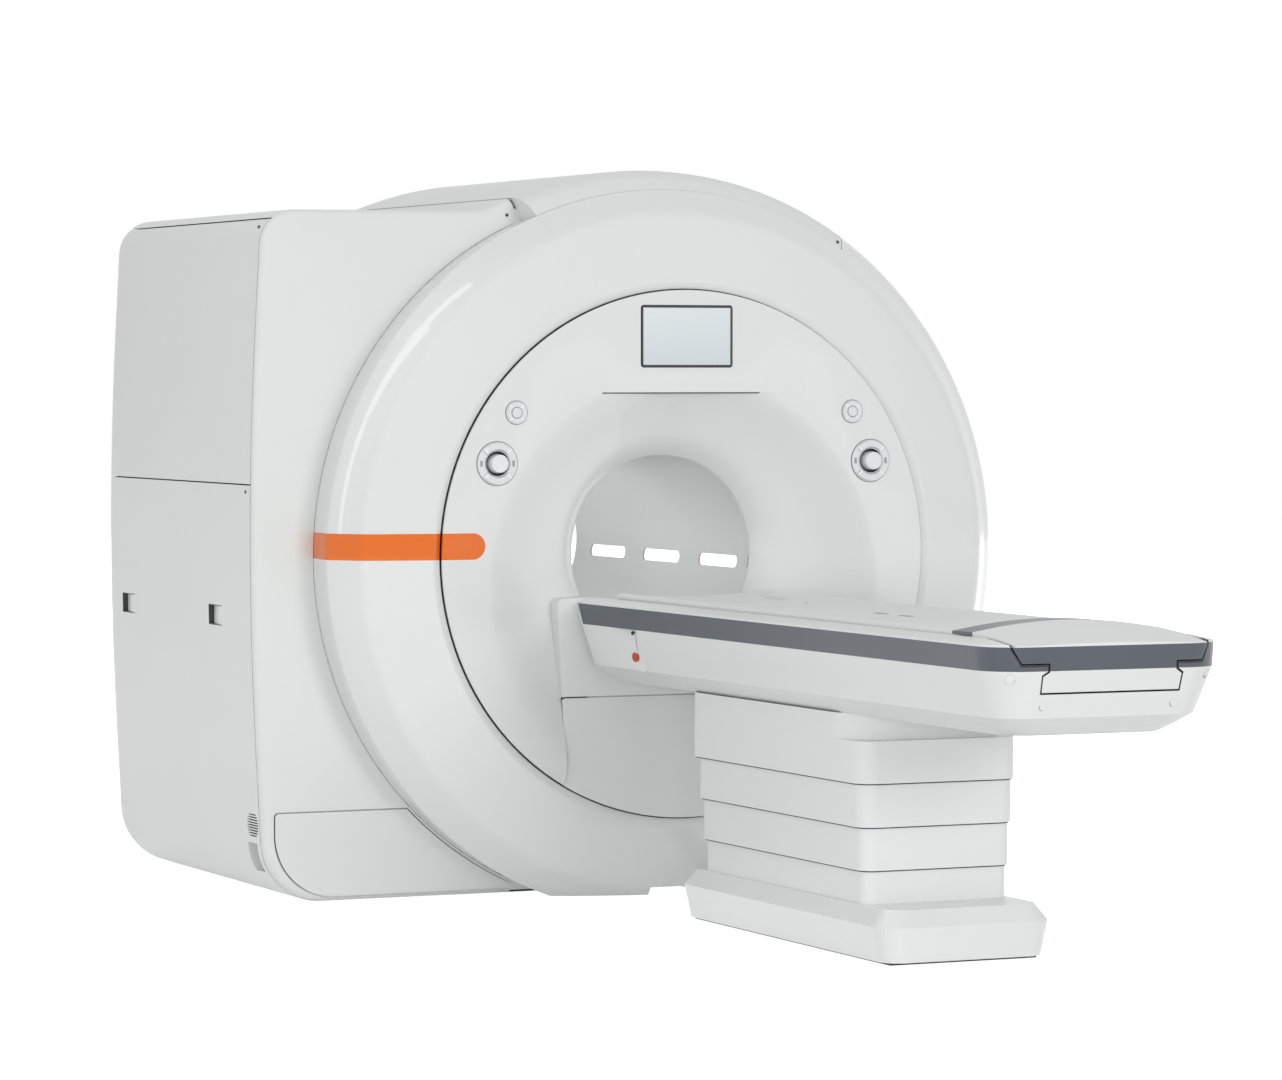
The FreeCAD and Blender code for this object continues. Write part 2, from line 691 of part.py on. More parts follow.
def with_pulls(panel):
    """Lower side panel with finger pulls, a lens-shaped vent and a cable recess."""
    skin_x = -1296.0
    for depth in (635, 1468):
        y = back(depth)
        z = 859.0
        cup = box(skin_x + 4, skin_x + 30, y - 65, y + 65, z - 36, z + 36)
        wedge = [(skin_x - 10, y - 58), (skin_x - 10, y + 58), (skin_x + 20, y + 58), (skin_x + 2, y - 58)]
        panel = joined([panel, cup]).cut(prism(wedge, "XY", z - 29, z + 29))
    for row in range(9):
        z = 236 + (row - 4) * 8.0
        half = 48.0 * math.sqrt(1 - (abs(row - 4) / 5.2) ** 2)
        y = back(SIDE_FRONT + 60)
        slot = box(skin_x - 10, skin_x + 80, y - half, y + half, z - 1.8, z + 1.8)
        panel = panel.cut(slot)
    return with_recess(panel)


def with_recess(panel):
    """Cable recess in the curved foot of the side, crossed by a slanting bar."""
    y0, y1 = back(345), back(425)
    low, high = 95.0, 182.0
    floor_x = -1196.0
    cup = box(-1290, floor_x + 5, y0 - 5, y1 + 5, low - 5, high + 5).common(wing_block(1))
    slant = [(y0 - 2, low + 4), (y0 + 8, low - 2), (y1 + 2, high - 4), (y1 - 8, high + 2)]
    bar = prism(slant, "YZ", -1216, -1208)
    panel = joined([panel, cup]).cut(box(-1300, floor_x, y0, y1, low, high))
    return joined([panel, bar])


def rear_cover():
    """Flat rear panel with a funnel into the bore."""
    edge = REAR_ROUND + 1 + SEAM
    y0 = REAR_Y - COVER
    wing = prism(wing_outline(edge), "XZ", y0, REAR_Y)
    round_top = rod_y(GANTRY_R - edge, y0, REAR_Y)
    skirt = box(PANEL_EDGE_X + SEAM, GANTRY_R - edge, y0, REAR_Y, FLOOR_GAP, AXIS_Z)
    plate = joined([wing, round_top, skirt])
    above = box(-1400, 1400, y0 - 1, REAR_Y + 1, FLOOR_GAP, 2400)
    plate = plate.common(above).cut(rod_y(REAR_HOLE_R, y0 - 1, REAR_Y + 1))
    throat = [(BORE_R + 1, BORE_REAR_Y + FIT), (BORE_R + 1, BORE_REAR_Y + 20, 60)]
    flare = [(REAR_HOLE_R, REAR_Y, 10), (REAR_HOLE_R + 20, REAR_Y)]
    return joined([plate, turned(skin(throat + flare, -COVER), 0, 360)])


def cover_frame():
    """Front and rear frame plates round the vessel with rails between, behind the cover joints."""
    rim = GANTRY_R - COVER - RUN
    inner = wing_block(COVER + FIT)
    gantry_side = box(TOP_END_X, rim, back(0), REAR_Y, 0, 2400)
    spread = joined([inner.cut(wing_block(COVER + FRAME_BAND)), gantry_side])
    plates = []
    for y0, radius in ((back(FRAME_FRONT), rim), (REAR_Y - COVER - FRAME_WALL, rim - REAR_ROUND)):
        y1 = y0 + FRAME_WALL
        disc = rod_y(radius, y0, y1).common(joined([inner, gantry_side]))
        skirt = box(0, radius, y0, y1, 40, AXIS_Z)
        wing_rim = spread.common(box(-1400, TOP_END_X + 10, y0, y1, 40, 2300)).common(inner)
        plate = joined([disc, skirt, wing_rim]).cut(rod_y(VESSEL_R + FIT, y0 - 1, y1 + 1))
        plates.append(plate.common(box(-1400, 1400, y0, y1, 40, 2400)))
    y0, y1 = back(FRAME_FRONT), REAR_Y - COVER
    rails = [box(-1262, -1232, y0, y1, SIDE_SPLIT_Z - 15, SIDE_SPLIT_Z + 15).common(inner)]
    for angle in (20, 70, 112):
        rail = box(-15, 15, y0, y1, VESSEL_R + 60, VESSEL_R + 90)
        rail.rotate(Vec(0, 0, 0), Vec(0, 1, 0), 90 - angle)
        rail.translate(Vec(0, 0, AXIS_Z))
        rails.append(rail)
    boss = tube_y(BAND_R - COVER - RUN, BAND_R - COVER - 30, back(WING_FRONT - 30), back(FRAME_FRONT) + 1)
    boss = boss.common(box(-1400, TOP_END_X - 10, back(0), back(400), 100, 2400))
    return joined([*plates, *rails, boss])


def electronics_rack():
    """Equipment rack in the wing: plinth, frame and six drawer fronts."""
    y0, y1 = back(480), back(1480)
    body = box(-1180, -990, y0, y1, 70, 1230)
    plinth = box(-1060, -1000, y0 + 40, y1 - 40, FLOOR_GAP + COVER, 70)
    for shelf in range(1, 6):
        z = 70 + shelf * 193.0
        body = body.cut(box(-1190, -1168, y0 - 1, y1 + 1, z - 3, z + 3))
    return joined([body, plinth])


def screw_shanks(radius):
    """Screws of the gantry covers: one in the shoulder, one beside the roof, two on the wing's side."""
    shoulder_screw = Part.makeCylinder(radius, 16, Vec(1119, 0, 0), Vec(1, 0, 0))
    shoulder_screw.rotate(Vec(0, 0, 0), Vec(0, -1, 0), TOP_START + 0.9)
    shoulder_screw.translate(Vec(0, back(178), AXIS_Z))
    fairing_screw = rod_y(radius, back(WING_FRONT - 1), back(WING_FRONT + COVER), -470, 2078)
    side_screws = [rod_x(radius, -1296, -1282, back(356), SIDE_SPLIT_Z - 22)]
    side_screws.append(rod_x(radius, -1252, -1238, back(356), ROOF_SPLIT_Z - 26))
    return [shoulder_screw, fairing_screw, *side_screws]


def cover_screws():
    """Button heads of the cover screws, each in its drilled hole."""
    return Part.makeCompound(screw_shanks(5))


def drilled(cover):
    for hole in screw_shanks(5 + FIT):
        cover = cover.cut(hole)
    return cover


# --- patient table ---


def hull_section(z, inside):
    """Plan of the table body at a height, walls moved in by inside."""
    sections = {
        KEEL_Z: (235.0, -20.0, -2470.0, 80.0),
        KEEL_Z + 21: (262.0, 12.0, -2510.0, 90.0),
        KEEL_Z + 50: (302.0, 18.0, -2550.0, 100.0),
        BAND_Z - 1: (TABLE_HALF - 5, BODY_HEAD, TABLE_FOOT, 110.0),
        BAND_Z: (TABLE_HALF - 5, TABLE_HEAD - 14, TABLE_FOOT, 110.0),
        DECK_Z: (TABLE_HALF, TABLE_HEAD, TABLE_FOOT, 112.0),
        DECK_Z + 6: (TABLE_HALF - 4, TABLE_HEAD - 4, TABLE_FOOT + 4, 108.0),
        DECK_TOP: (TABLE_HALF - 49, TABLE_HEAD - 12, TABLE_FOOT + 85, 70.0),
    }
    half, head, foot, foot_r = sections[z]
    half -= inside
    head = back(min(head, BODY_HEAD) - inside if inside else head)
    foot = back(foot + inside)
    head_r = max(12 - inside, 4)
    foot_r -= inside
    return [(half, foot, foot_r), (half, head, head_r), (-half, head, head_r), (-half, foot, foot_r)]


HULL_LEVELS = (KEEL_Z, KEEL_Z + 21, KEEL_Z + 50, BAND_Z - 1, BAND_Z, DECK_Z, DECK_Z + 6, DECK_TOP)


def hull(inside, levels=HULL_LEVELS, drop=0.0):
    wires = []
    for i, z in enumerate(levels):
        level = z + (inside if drop and i == 0 else 0) - (inside if drop and i == len(levels) - 1 else 0)
        wires.append(outline(hull_section(z, inside), "XY", level))
    return lofted(wires)


def channel(clear):
    """Space that the tabletop and its end cap slide through, walls moved in by clear."""
    half = [(CHANNEL_HALF, CHANNEL_FLOOR), (CHANNEL_HALF + 2, 828), (190, 839), (190, RAIL_Z)]
    half += [(266, RAIL_Z), (290, 898), (294, 1000)]
    return shifted(mirror_points(half), clear, True)


def channel_solid(clear, y0, y1):
    return prism(channel(clear), "XZ", y0, y1)


def on_recess_floor(shape):
    """A shape drawn with +X facing out of the recess's floor, moved to the lever's pivot."""
    x, depth, z = LEVER_PIVOT
    turn = FreeCAD.Rotation(Vec(1, 0, 0), Vec(*RECESS_FACING))
    moved = shape.copy()
    moved.Placement = FreeCAD.Placement(Vec(x, back(depth), z), turn).multiply(moved.Placement)
    return moved


def hand_recess(grow):
    """Scoop in the table's side: a plane floor that sinks towards the foot, an upright foot edge."""
    foot, low, high = back(RECESS_FOOT) - grow, RECESS_LOW - grow, BAND_Z + 6 + grow
    head = back(-150) + grow
    points = [(foot, high), (foot, low, 34 + grow), (back(-290), low), (head, low + 130), (head, high)]
    room = prism(points, "YZ", 200, TABLE_HALF + 20)
    return room.common(on_recess_floor(box(-grow, 120, -250, 250, -250, 250)))


def table_body_cover():
    """Keel-shaped body with a through channel, hollow between the two skins."""
    ends = (back(TABLE_FOOT - 50), back(TABLE_HEAD + 50))
    inner = hull(COVER, drop=1.0)
    space = inner.cut(channel_solid(-COVER, *ends))
    body = hull(0).cut(channel_solid(0, *ends)).cut(space)
    cup = mirrored_pair(hand_recess(COVER).common(hull(1)))
    pin_hole = on_recess_floor(rod_x(LEVER_PIN_R + RUN, -PIN_DEPTH - RUN, 2, 0, 0))
    body = joined([body, cup]).cut(mirrored_pair(hand_recess(0)))
    body = body.cut(mirrored_pair(pin_hole)).cut(band_ring())
    for hole in cap_shapes(FIT, 20):
        body = body.cut(hole)
    for y in LIFT_Y:
        half = LIFT_SIZE / 2 + 12
        body = body.cut(box(-half, half, back(y) - half, back(y) + half, KEEL_Z - 1, KEEL_Z + COVER + 1))
    slot_start = back(BELT_ENDS[1] + 5)
    slot_end = slot_start + TABLE_TRAVEL + 90
    return body.cut(box(-12, 12, slot_start, slot_end, CHANNEL_FLOOR - COVER - 1, CHANNEL_FLOOR + 1))


def cap_shapes(grow, proud):
    """Discs of the body screws' caps: two on the flat foot end, two on its rounded corners."""
    low_z, high_z = 748.0, 822.0
    lean = (BAND_Z - low_z) * 38 / 123.0
    corner_r = 108.5
    turn = math.radians(55)
    middle_x, middle_y = TABLE_HALF - 119.1, back(TABLE_FOOT + 5.6 + corner_r)
    facing = Vec(math.cos(turn), -math.sin(turn), 0)
    places = [(Vec(192, back(TABLE_FOOT + lean), low_z), Vec(0, -1, 0), 10.0)]
    places.append((Vec(middle_x, middle_y, high_z) + facing * corner_r, facing, 12.0))
    discs = []
    for centre, out, radius in places:
        disc = Part.makeCylinder(radius + grow, 9 + proud, centre - out * 9, out)
        discs += both_sides(disc)
    return discs


def band_ring():
    """Slate band round the body; its head end is cut on the slant."""
    levels = (BAND_Z, DECK_Z)
    slant = [(back(12), BAND_Z - 1), (back(39), DECK_Z + 1), (back(200), DECK_Z + 1), (back(200), BAND_Z - 1)]
    return hull(0, levels).cut(hull(BAND_WALL, levels)).cut(prism(slant, "YZ", -400, 400))


def side_strips():
    """Slate bands along the table's sides and round its corners, up to the channel."""
    ends = (back(TABLE_FOOT - 50), back(TABLE_HEAD + 50))
    return band_ring().cut(channel_solid(0, *ends))


def release_lever():
    """Emergency release: a round thumb pad on a flat arm that turns on a pin in the recess's floor."""
    arm = prism([(-8, 8, 7), (8, 8, 7), (6, -60), (-14, -60)], "YZ", 1, 4)
    pad = rod_x(LEVER_PAD_R, 1, 6, *LEVER_REACH)
    pin = rod_x(LEVER_PIN_R, -PIN_DEPTH, 5.5, 0, 0)
    return on_recess_floor(joined([arm, pad, pin]))


def tabletop():
    """Concave cradle on two runners, with the drive lug under its foot end."""
    runner = RAIL_Z + RUN
    lower = TOP_Z - 54
    half = [(195, lower), (195, runner), (225, runner), (225, lower), (TOP_HALF - 28, lower)]
    half += [(TOP_HALF, TOP_Z - 20), (TOP_HALF, TOP_Z, 16), (TOP_HALF - 36, TOP_Z)]
    points = mirror_points(half)
    points.insert(len(half), (0, TOP_Z - 24, 2000))
    top = prism(points, "XZ", back(CAP_START), back(TOP_HEAD))
    nose = [(TOP_HALF + 5, back(CAP_START) - 10), (TOP_HALF + 5, back(TOP_HEAD), 60)]
    nose += [(-TOP_HALF - 5, back(TOP_HEAD), 60), (-TOP_HALF - 5, back(CAP_START) - 10)]
    return top.common(prism(nose, "XY", 800, 1000))


def dome_section(y, side_z, crown):
    """Flat-bottomed section with a crowned top."""
    half_width = TABLE_HALF - 63
    share = 0.8  # of the crowned top that is arc
    peak = (crown - side_z) / (1 - share / 2)
    slope = math.atan(peak / half_width)
    radius = share * half_width / math.sin(slope)
    points = [(half_width, RAIL_Z + 26), (half_width, side_z), (0, side_z + peak, radius)]
    return outline(points + [(-half_width, side_z), (-half_width, RAIL_Z + 26)], "XZ", back(y))


def cap_dome():
    sections = ((CAP_START, 930, 957), (CAP_START - 110, 921, 944), (TABLE_FOOT - 4, 903.0, 909))
    return lofted([dome_section(*s) for s in sections])


def end_cap():
    """Moulded foot end: crowned top, band zone and the block that closes the channel."""
    y0, y1 = back(TABLE_FOOT) - 10, back(CAP_START)
    room = channel_solid(CAP_GAP, y0, y1)
    plug = room.common(hull(0, (KEEL_Z + 50, BAND_Z, DECK_Z)))
    dome = cap_dome().common(prism(hull_section(DECK_Z, 0), "XY", DECK_Z, 1000)).common(room)
    block_end = back(TABLE_FOOT) + 190
    under = box(-CHANNEL_HALF, CHANNEL_HALF, block_end, y1 + 1, CHANNEL_FLOOR, RAIL_Z + 1)
    lug = box(-8, 8, block_end - 24, block_end, BELT_Z + PULLEY_R + 3 + RUN, CHANNEL_FLOOR + CAP_GAP + 1)
    return joined([plug.cut(under), dome, lug]).cut(band_ring())


def end_cap_band():
    """Slate band across the foot end and the arch at the cap's inner edge."""
    y0, y1 = back(TABLE_FOOT) - 10, back(CAP_START)
    band = band_ring().common(channel_solid(CAP_GAP, y0, y1))
    arch = lofted([dome_section(CAP_START, 930, 957), dome_section(CAP_START + ARCH_LENGTH, 929, 956)])
    arch = arch.common(box(-300, 300, y1, y1 + ARCH_LENGTH, DECK_TOP + 1, 1000))
    seat = tabletop()
    arch = arch.cut(seat)
    seat.translate(Vec(0, 0, FIT))
    arch = arch.cut(seat)
    return Part.makeCompound([*band.Solids, *arch.Solids])


def table_chassis():
    """Ladder frame inside the body with a lift plate over the columns."""
    y0, y1 = back(-2445), back(-152)
    low = KEEL_Z + COVER
    beams = [box(s * 165 - 20, s * 165 + 20, y0, y1, low + 8, CHANNEL_FLOOR - COVER) for s in (-1, 1)]
    plate = box(-185, 185, back(LIFT_Y[0] - 110), back(LIFT_Y[1] + 110), low, low + 10)
    ties = [box(-185, 185, back(d) - 30, back(d) + 30, low + 8, low + 20) for d in (-2300, -1900, -500, -240)]
    return joined([*beams, plate, *ties])


def drive_belt():
    """Toothed belt round both pulleys, its two runs level."""
    radius = PULLEY_R + FIT + BELT_WALL
    bend = radius - 0.01
    a, b = (back(d) for d in BELT_ENDS)
    outer = [(a + radius, BELT_Z - radius, bend), (a + radius, BELT_Z + radius, bend)]
    outer += [(b - radius, BELT_Z + radius, bend), (b - radius, BELT_Z - radius, bend)]
    inner = shifted(outer, BELT_WALL, True)
    return prism(outer, "YZ", -15, 15).cut(prism(inner, "YZ", -16, 16))


def pulley(index):
    y = back(BELT_ENDS[index])
    ends = (-145 + FIT, 145 - FIT) if index == 0 else (-145 + FIT, 32)
    wheel = rod_x(PULLEY_R, -16, 16, y, BELT_Z)
    rims = [rod_x(PULLEY_R + 6, x, x + 3, y, BELT_Z) for x in (-19, 16)]
    return joined([wheel, *rims, rod_x(6, *ends, y, BELT_Z)])


def drive_motor():
    y = back(BELT_ENDS[1])
    spigot = rod_x(30, 28, 34, y, BELT_Z).cut(rod_x(8, 20, 40, y, BELT_Z))
    return joined([rod_x(38, 32 + FIT, 145, y, BELT_Z), spigot])


def sleeve_plan(index):
    shrink = index * SLEEVE_STEP
    half = COLUMN_HALF - shrink
    y0, y1 = back(COLUMN_FRONT + shrink), back(COLUMN_BACKS[index])
    corner = COLUMN_CORNER - shrink
    return [(half, y0, corner), (half, y1, corner), (-half, y1, corner), (-half, y0, corner)]


def sleeve(name, index):
    """One sleeve of the telescopic cover: the lower ones are smaller and carry a guide bead on top."""
    low, high = SLEEVES[name]
    plan = sleeve_plan(index)
    shell = prism(plan, "XY", low, high)
    bead = SLEEVE_STEP - SLEEVE_WALL - RUN
    grown = shifted(plan, -bead, True)
    shell = joined([shell, prism(grown, "XY", high - 12, high)])
    return shell.cut(prism(shifted(plan, SLEEVE_WALL, True), "XY", low - 1, high + 1))


def upper_sleeve():
    """Topmost sleeve: towards the foot its neck is set back, which leaves a shelf on the sleeve."""
    low, high = SLEEVES["upper_sleeve"]
    wide = sleeve_plan(0)
    half, y1 = COLUMN_HALF - 0.5, back(COLUMN_BACKS[0] - 0.5)
    y0 = back(COLUMN_FRONT + 34)
    neck = [(half, y0, 150), (half, y1, COLUMN_CORNER), (-half, y1, COLUMN_CORNER), (-half, y0, 150)]
    shell = joined([prism(wide, "XY", low, SHELF_Z), prism(neck, "XY", SHELF_Z - 1, high)])
    space = [prism(shifted(wide, SLEEVE_WALL, True), "XY", low - 1, SHELF_Z - SLEEVE_WALL)]
    space.append(prism(shifted(neck, SLEEVE_WALL, True), "XY", SHELF_Z - SLEEVE_WALL - 1, high + 1))
    return shell.cut(joined(space))


def lift_stage(size, low, high):
    stages = []
    for y in LIFT_Y:
        half = size / 2
        outer = box(-half, half, back(y) - half, back(y) + half, low, high)
        half -= LIFT_WALL
        stages.append(outer.cut(box(-half, half, back(y) - half, back(y) + half, low - 1, high + 1)))
    return Part.makeCompound(stages)


def base_plate():
    """Steel plate on the floor with four anchor holes."""
    plate = box(-225, 225, back(BASE_FOOT + 30), back(BASE_HEAD - 30), 0, 10)
    for x in (-190, 190):
        for depth in ANCHOR_DEPTHS:
            plate = plate.cut(rod_z(9, -1, 11, x, back(depth)))
    return plate


def base_section(grow, corner):
    half = BASE_HALF + grow
    y0, y1 = back(BASE_FOOT - grow), back(BASE_HEAD + grow)
    return [(half, y0, corner), (half, y1, corner), (-half, y1, corner), (-half, y0, corner)]


def base_cover():
    """Moulded base: sides lean out to a rim, a wide bevel runs up to the column."""
    levels = ((FLOOR_GAP * 2, 0.0, 60.0), (104.0, 18.0, 74.0), (BASE_TOP, -14.0, 62.0))
    outer = lofted([outline(base_section(g, c), "XY", z) for z, g, c in levels])
    inner = lofted([outline(base_section(g - 6, c - 6), "XY", z) for z, g, c in levels])
    inner = inner.common(box(-400, 400, back(-2000), back(0), 0, BASE_TOP - 6))
    opening = prism(shifted(sleeve_plan(3), SLEEVE_WALL, True), "XY", 100, 200)
    duct_notch = box(DUCT[0] - 3, DUCT[1] + 3, back(BASE_HEAD - 40), back(BASE_HEAD + 40), 0, DUCT[2] + 3)
    cover = outer.cut(inner).cut(opening).cut(duct_notch)
    posts = []
    for side in (-1, 1):
        for y in (back(-560), back(-1720)):
            posts.append(box(side * 210 - 12, side * 210 + 12, y - 12, y + 12, 10, 60))
            posts.append(box(side * 235 - 35, side * 235 + 35, y - 12, y + 12, 50, 60))
    return joined([cover, joined(posts).common(outer)])


def floor_duct():
    """Low cable duct from the table base to the magnet, through the ring's floor notch."""
    left, right, high = DUCT
    wall = 3.0
    outer = box(left, right, back(BASE_HEAD - 30) + FIT, back(349) - FIT, 0, high)
    return outer.cut(box(left + wall, right - wall, back(-600), back(400), -1, high - wall))


def screw_caps():
    """Round caps over the body screws on the foot end."""
    return Part.makeCompound(cap_shapes(0, 2))


# --- assembly ---


def build():
    keep("magnet_vessel", magnet_vessel())
    keep("magnet_cradle", magnet_cradle())
    keep("helium_vessel", helium_vessel())
    keep("superconducting_coils", superconducting_coils())
    keep("gradient_coil", gradient_coil())
    keep("body_coil", body_coil())
    keep("cold_head", cold_head())
    keep("bore_liner", bore_liner())
    keep("bore_light_windows", bore_light_windows())
    keep("bore_bridge", bore_bridge())
    keep("front_ring_cover", front_ring_cover())
    keep("front_face_cover", front_face_cover())
    keep("dock_pillar_cover", dock_pillar_cover())
    keep("lower_front_panel", lower_front_panel())
    keep("display_screen", display_screen())
    large = [large_control(x, z) for x, z in control_places(LARGE_CONTROL)]
    keep("large_control_housings", Part.makeCompound(large))
    small = [small_control(x, z) for x, z in control_places(SMALL_CONTROL)]
    keep("small_control_housings", Part.makeCompound(small))
    keep("top_cover", drilled(top_cover()))
    keep("right_side_cover", right_side_cover())
    names = ("wing_front_cover", "wing_upper_panel", "wing_lower_panel", "wing_access_panel")
    for name, shape in zip(names, wing_panels()):
        keep(name, drilled(shape))
    keep("rear_cover", rear_cover())
    keep("cover_frame", cover_frame())
    keep("electronics_rack", electronics_rack())
    keep("cover_screws", cover_screws())
    keep("floor_duct", floor_duct())

    x, z, _ = LARGE_CONTROL
    keep_sides("jog_knob", jog_knob(x, z))
    keys = (KEY_IN_R, KEY_OUT_R, 90, KEY_HALF_ANGLE, back(-KEY_PROUD - 3), back(3), x, z)
    keep_sides("upper_key", key_sector(*keys))
    keys = (KEY_IN_R, KEY_OUT_R, 270, KEY_HALF_ANGLE, back(-KEY_PROUD - 3), back(3), x, z)
    keep_sides("lower_key", key_sector(*keys))
    x, z, _ = SMALL_CONTROL
    keep_sides("four_way_key", four_way_key(x, z))
    keep_sides("centre_button", rod_y(BUTTON_R, back(-5), back(3), x, z))

    keep("base_plate", base_plate())
    keep("base_cover", base_cover())
    keep("upper_sleeve", upper_sleeve())
    for index, name in enumerate(("second_sleeve", "third_sleeve", "lower_sleeve"), 1):
        keep(name, sleeve(name, index))
    size = LIFT_SIZE
    for name, low, high in (("outer", 10, 300), ("middle", 180, 480), ("inner", 345, KEEL_Z + COVER)):
        keep("lift_column_" + name, lift_stage(size, low, high))
        size -= 2 * (LIFT_WALL + LIFT_GAP)
    keep("table_chassis", table_chassis())
    keep("table_body_cover", table_body_cover())
    keep("side_strips", side_strips())
    keep("screw_caps", screw_caps())
    keep_sides("release_lever", release_lever())
    keep("tabletop", tabletop())
    keep("end_cap", end_cap())
    keep("end_cap_band", end_cap_band())
    keep("drive_belt", drive_belt())
    keep("head_pulley", pulley(0))
    keep("drive_pulley", pulley(1))
    keep("drive_motor", drive_motor())

    os.makedirs("parts", exist_ok=True)
    for name, shape in PIECES.items():
        shape.exportStep("parts/" + name + ".step")


build()
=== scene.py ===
import bpy
import json
import math
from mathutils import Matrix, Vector
from mathutils.bvhtree import BVHTree

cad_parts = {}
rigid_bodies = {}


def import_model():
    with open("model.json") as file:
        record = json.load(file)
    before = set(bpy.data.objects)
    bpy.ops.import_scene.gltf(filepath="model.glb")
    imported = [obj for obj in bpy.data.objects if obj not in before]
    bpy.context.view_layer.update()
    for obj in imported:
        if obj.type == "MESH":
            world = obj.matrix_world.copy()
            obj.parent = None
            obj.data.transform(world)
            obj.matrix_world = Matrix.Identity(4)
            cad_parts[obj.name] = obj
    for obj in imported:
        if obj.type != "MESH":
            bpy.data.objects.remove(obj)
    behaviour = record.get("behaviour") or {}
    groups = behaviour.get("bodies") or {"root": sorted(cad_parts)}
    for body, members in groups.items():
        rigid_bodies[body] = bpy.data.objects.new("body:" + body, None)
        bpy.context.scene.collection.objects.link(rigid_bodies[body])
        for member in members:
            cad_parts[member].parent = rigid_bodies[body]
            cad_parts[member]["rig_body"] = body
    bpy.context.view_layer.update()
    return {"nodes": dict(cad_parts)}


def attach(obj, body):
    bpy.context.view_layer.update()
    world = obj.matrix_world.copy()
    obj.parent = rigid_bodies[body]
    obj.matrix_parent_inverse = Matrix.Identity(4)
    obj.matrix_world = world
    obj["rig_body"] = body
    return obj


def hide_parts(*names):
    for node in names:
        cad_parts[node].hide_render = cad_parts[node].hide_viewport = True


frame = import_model()
bpy.ops.object.select_all(action="DESELECT")
scene = bpy.context.scene


# Roof cover
# Curved laminate moulding over the top of the magnet, laid up by hand in a mould and finished in
# satin white gel coat. It hangs on the cover frame and stops short of the wing's fairing.
def welded(node, name, angle=32.0):
    """A welded copy of a moulding, smooth round its curves and crisp at its edges."""
    cad = frame["nodes"][node]
    shell = cad.copy()
    shell.data = cad.data.copy()
    shell.name = name
    shell.parent = None
    for key in [k for k in shell.keys() if k.startswith("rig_")]:
        del shell[key]
    scene.collection.objects.link(shell)
    bpy.ops.object.select_all(action="DESELECT")
    shell.select_set(True)
    bpy.context.view_layer.objects.active = shell
    bpy.ops.object.mode_set(mode="EDIT")
    bpy.ops.mesh.select_all(action="SELECT")
    bpy.ops.mesh.remove_doubles(threshold=0.00002)
    bpy.ops.mesh.customdata_custom_splitnormals_clear()
    bpy.ops.object.mode_set(mode="OBJECT")
    bpy.ops.object.shade_smooth_by_angle(angle=math.radians(angle))
    shell.select_set(False)
    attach(shell, cad["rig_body"])
    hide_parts(node)
    return shell


def dress(piece, *finishes):
    """Gives a piece its finishes, the first one all over."""
    piece.data.materials.clear()
    for finish in finishes:
        piece.data.materials.append(finish)
    for polygon in piece.data.polygons:
        polygon.material_index = 0


def new_finish(name):
    """A fresh material with its node tree's makers and its shader."""
    material = bpy.data.materials.new(name)
    material.use_nodes = True
    nodes = material.node_tree.nodes
    links = material.node_tree.links
    return material, nodes, links, nodes["Principled BSDF"]


TONE_SPREAD = 0.4  # how far each side of the noise's middle the two tones lie


def mottled(nodes, links, tones, scale):
    """Colour that drifts a little between a light and a dark tone over the piece."""
    place = nodes.new("ShaderNodeTexCoord")
    cloud = nodes.new("ShaderNodeTexNoise")
    cloud.inputs["Scale"].default_value = scale
    cloud.inputs["Detail"].default_value = 3.0
    links.new(place.outputs["Object"], cloud.inputs["Vector"])
    ramp = nodes.new("ShaderNodeValToRGB")
    ramp.color_ramp.elements[0].position = 0.5 - TONE_SPREAD
    ramp.color_ramp.elements[1].position = 0.5 + TONE_SPREAD
    light, dark = tones
    ramp.color_ramp.elements[0].color = (*dark, 1.0)
    ramp.color_ramp.elements[1].color = (*light, 1.0)
    links.new(cloud.outputs["Fac"], ramp.inputs["Fac"])
    return place, ramp


def surface_grain(nodes, links, place, shader, scale, strength, distance=0.0005):
    """Fine moulding texture in the surface."""
    grain = nodes.new("ShaderNodeTexNoise")
    grain.inputs["Scale"].default_value = scale
    grain.inputs["Detail"].default_value = 2.0
    links.new(place.outputs["Object"], grain.inputs["Vector"])
    bump = nodes.new("ShaderNodeBump")
    bump.inputs["Strength"].default_value = strength
    bump.inputs["Distance"].default_value = distance
    links.new(grain.outputs["Fac"], bump.inputs["Height"])
    links.new(bump.outputs["Normal"], shader.inputs["Normal"])


def gloss_drift(nodes, links, place, shader, low, high, scale=3.0):
    """Gloss that wanders between two values, as on wiped and handled covers."""
    drift = nodes.new("ShaderNodeTexNoise")
    drift.inputs["Scale"].default_value = scale
    links.new(place.outputs["Object"], drift.inputs["Vector"])
    span = nodes.new("ShaderNodeMapRange")
    span.inputs["To Min"].default_value = low
    span.inputs["To Max"].default_value = high
    links.new(drift.outputs["Fac"], span.inputs["Value"])
    links.new(span.outputs["Result"], shader.inputs["Roughness"])


def plain_finish(name, tones, scale, grain, gloss, shine=()):
    """A finish in two tones with grain and drifting gloss, and any further shader values."""
    material, nodes, links, shader = new_finish(name)
    place, tone = mottled(nodes, links, tones, scale)
    links.new(tone.outputs["Color"], shader.inputs["Base Color"])
    surface_grain(nodes, links, place, shader, *grain)
    gloss_drift(nodes, links, place, shader, *gloss)
    for socket, value in shine:
        shader.inputs[socket].default_value = value
    return material


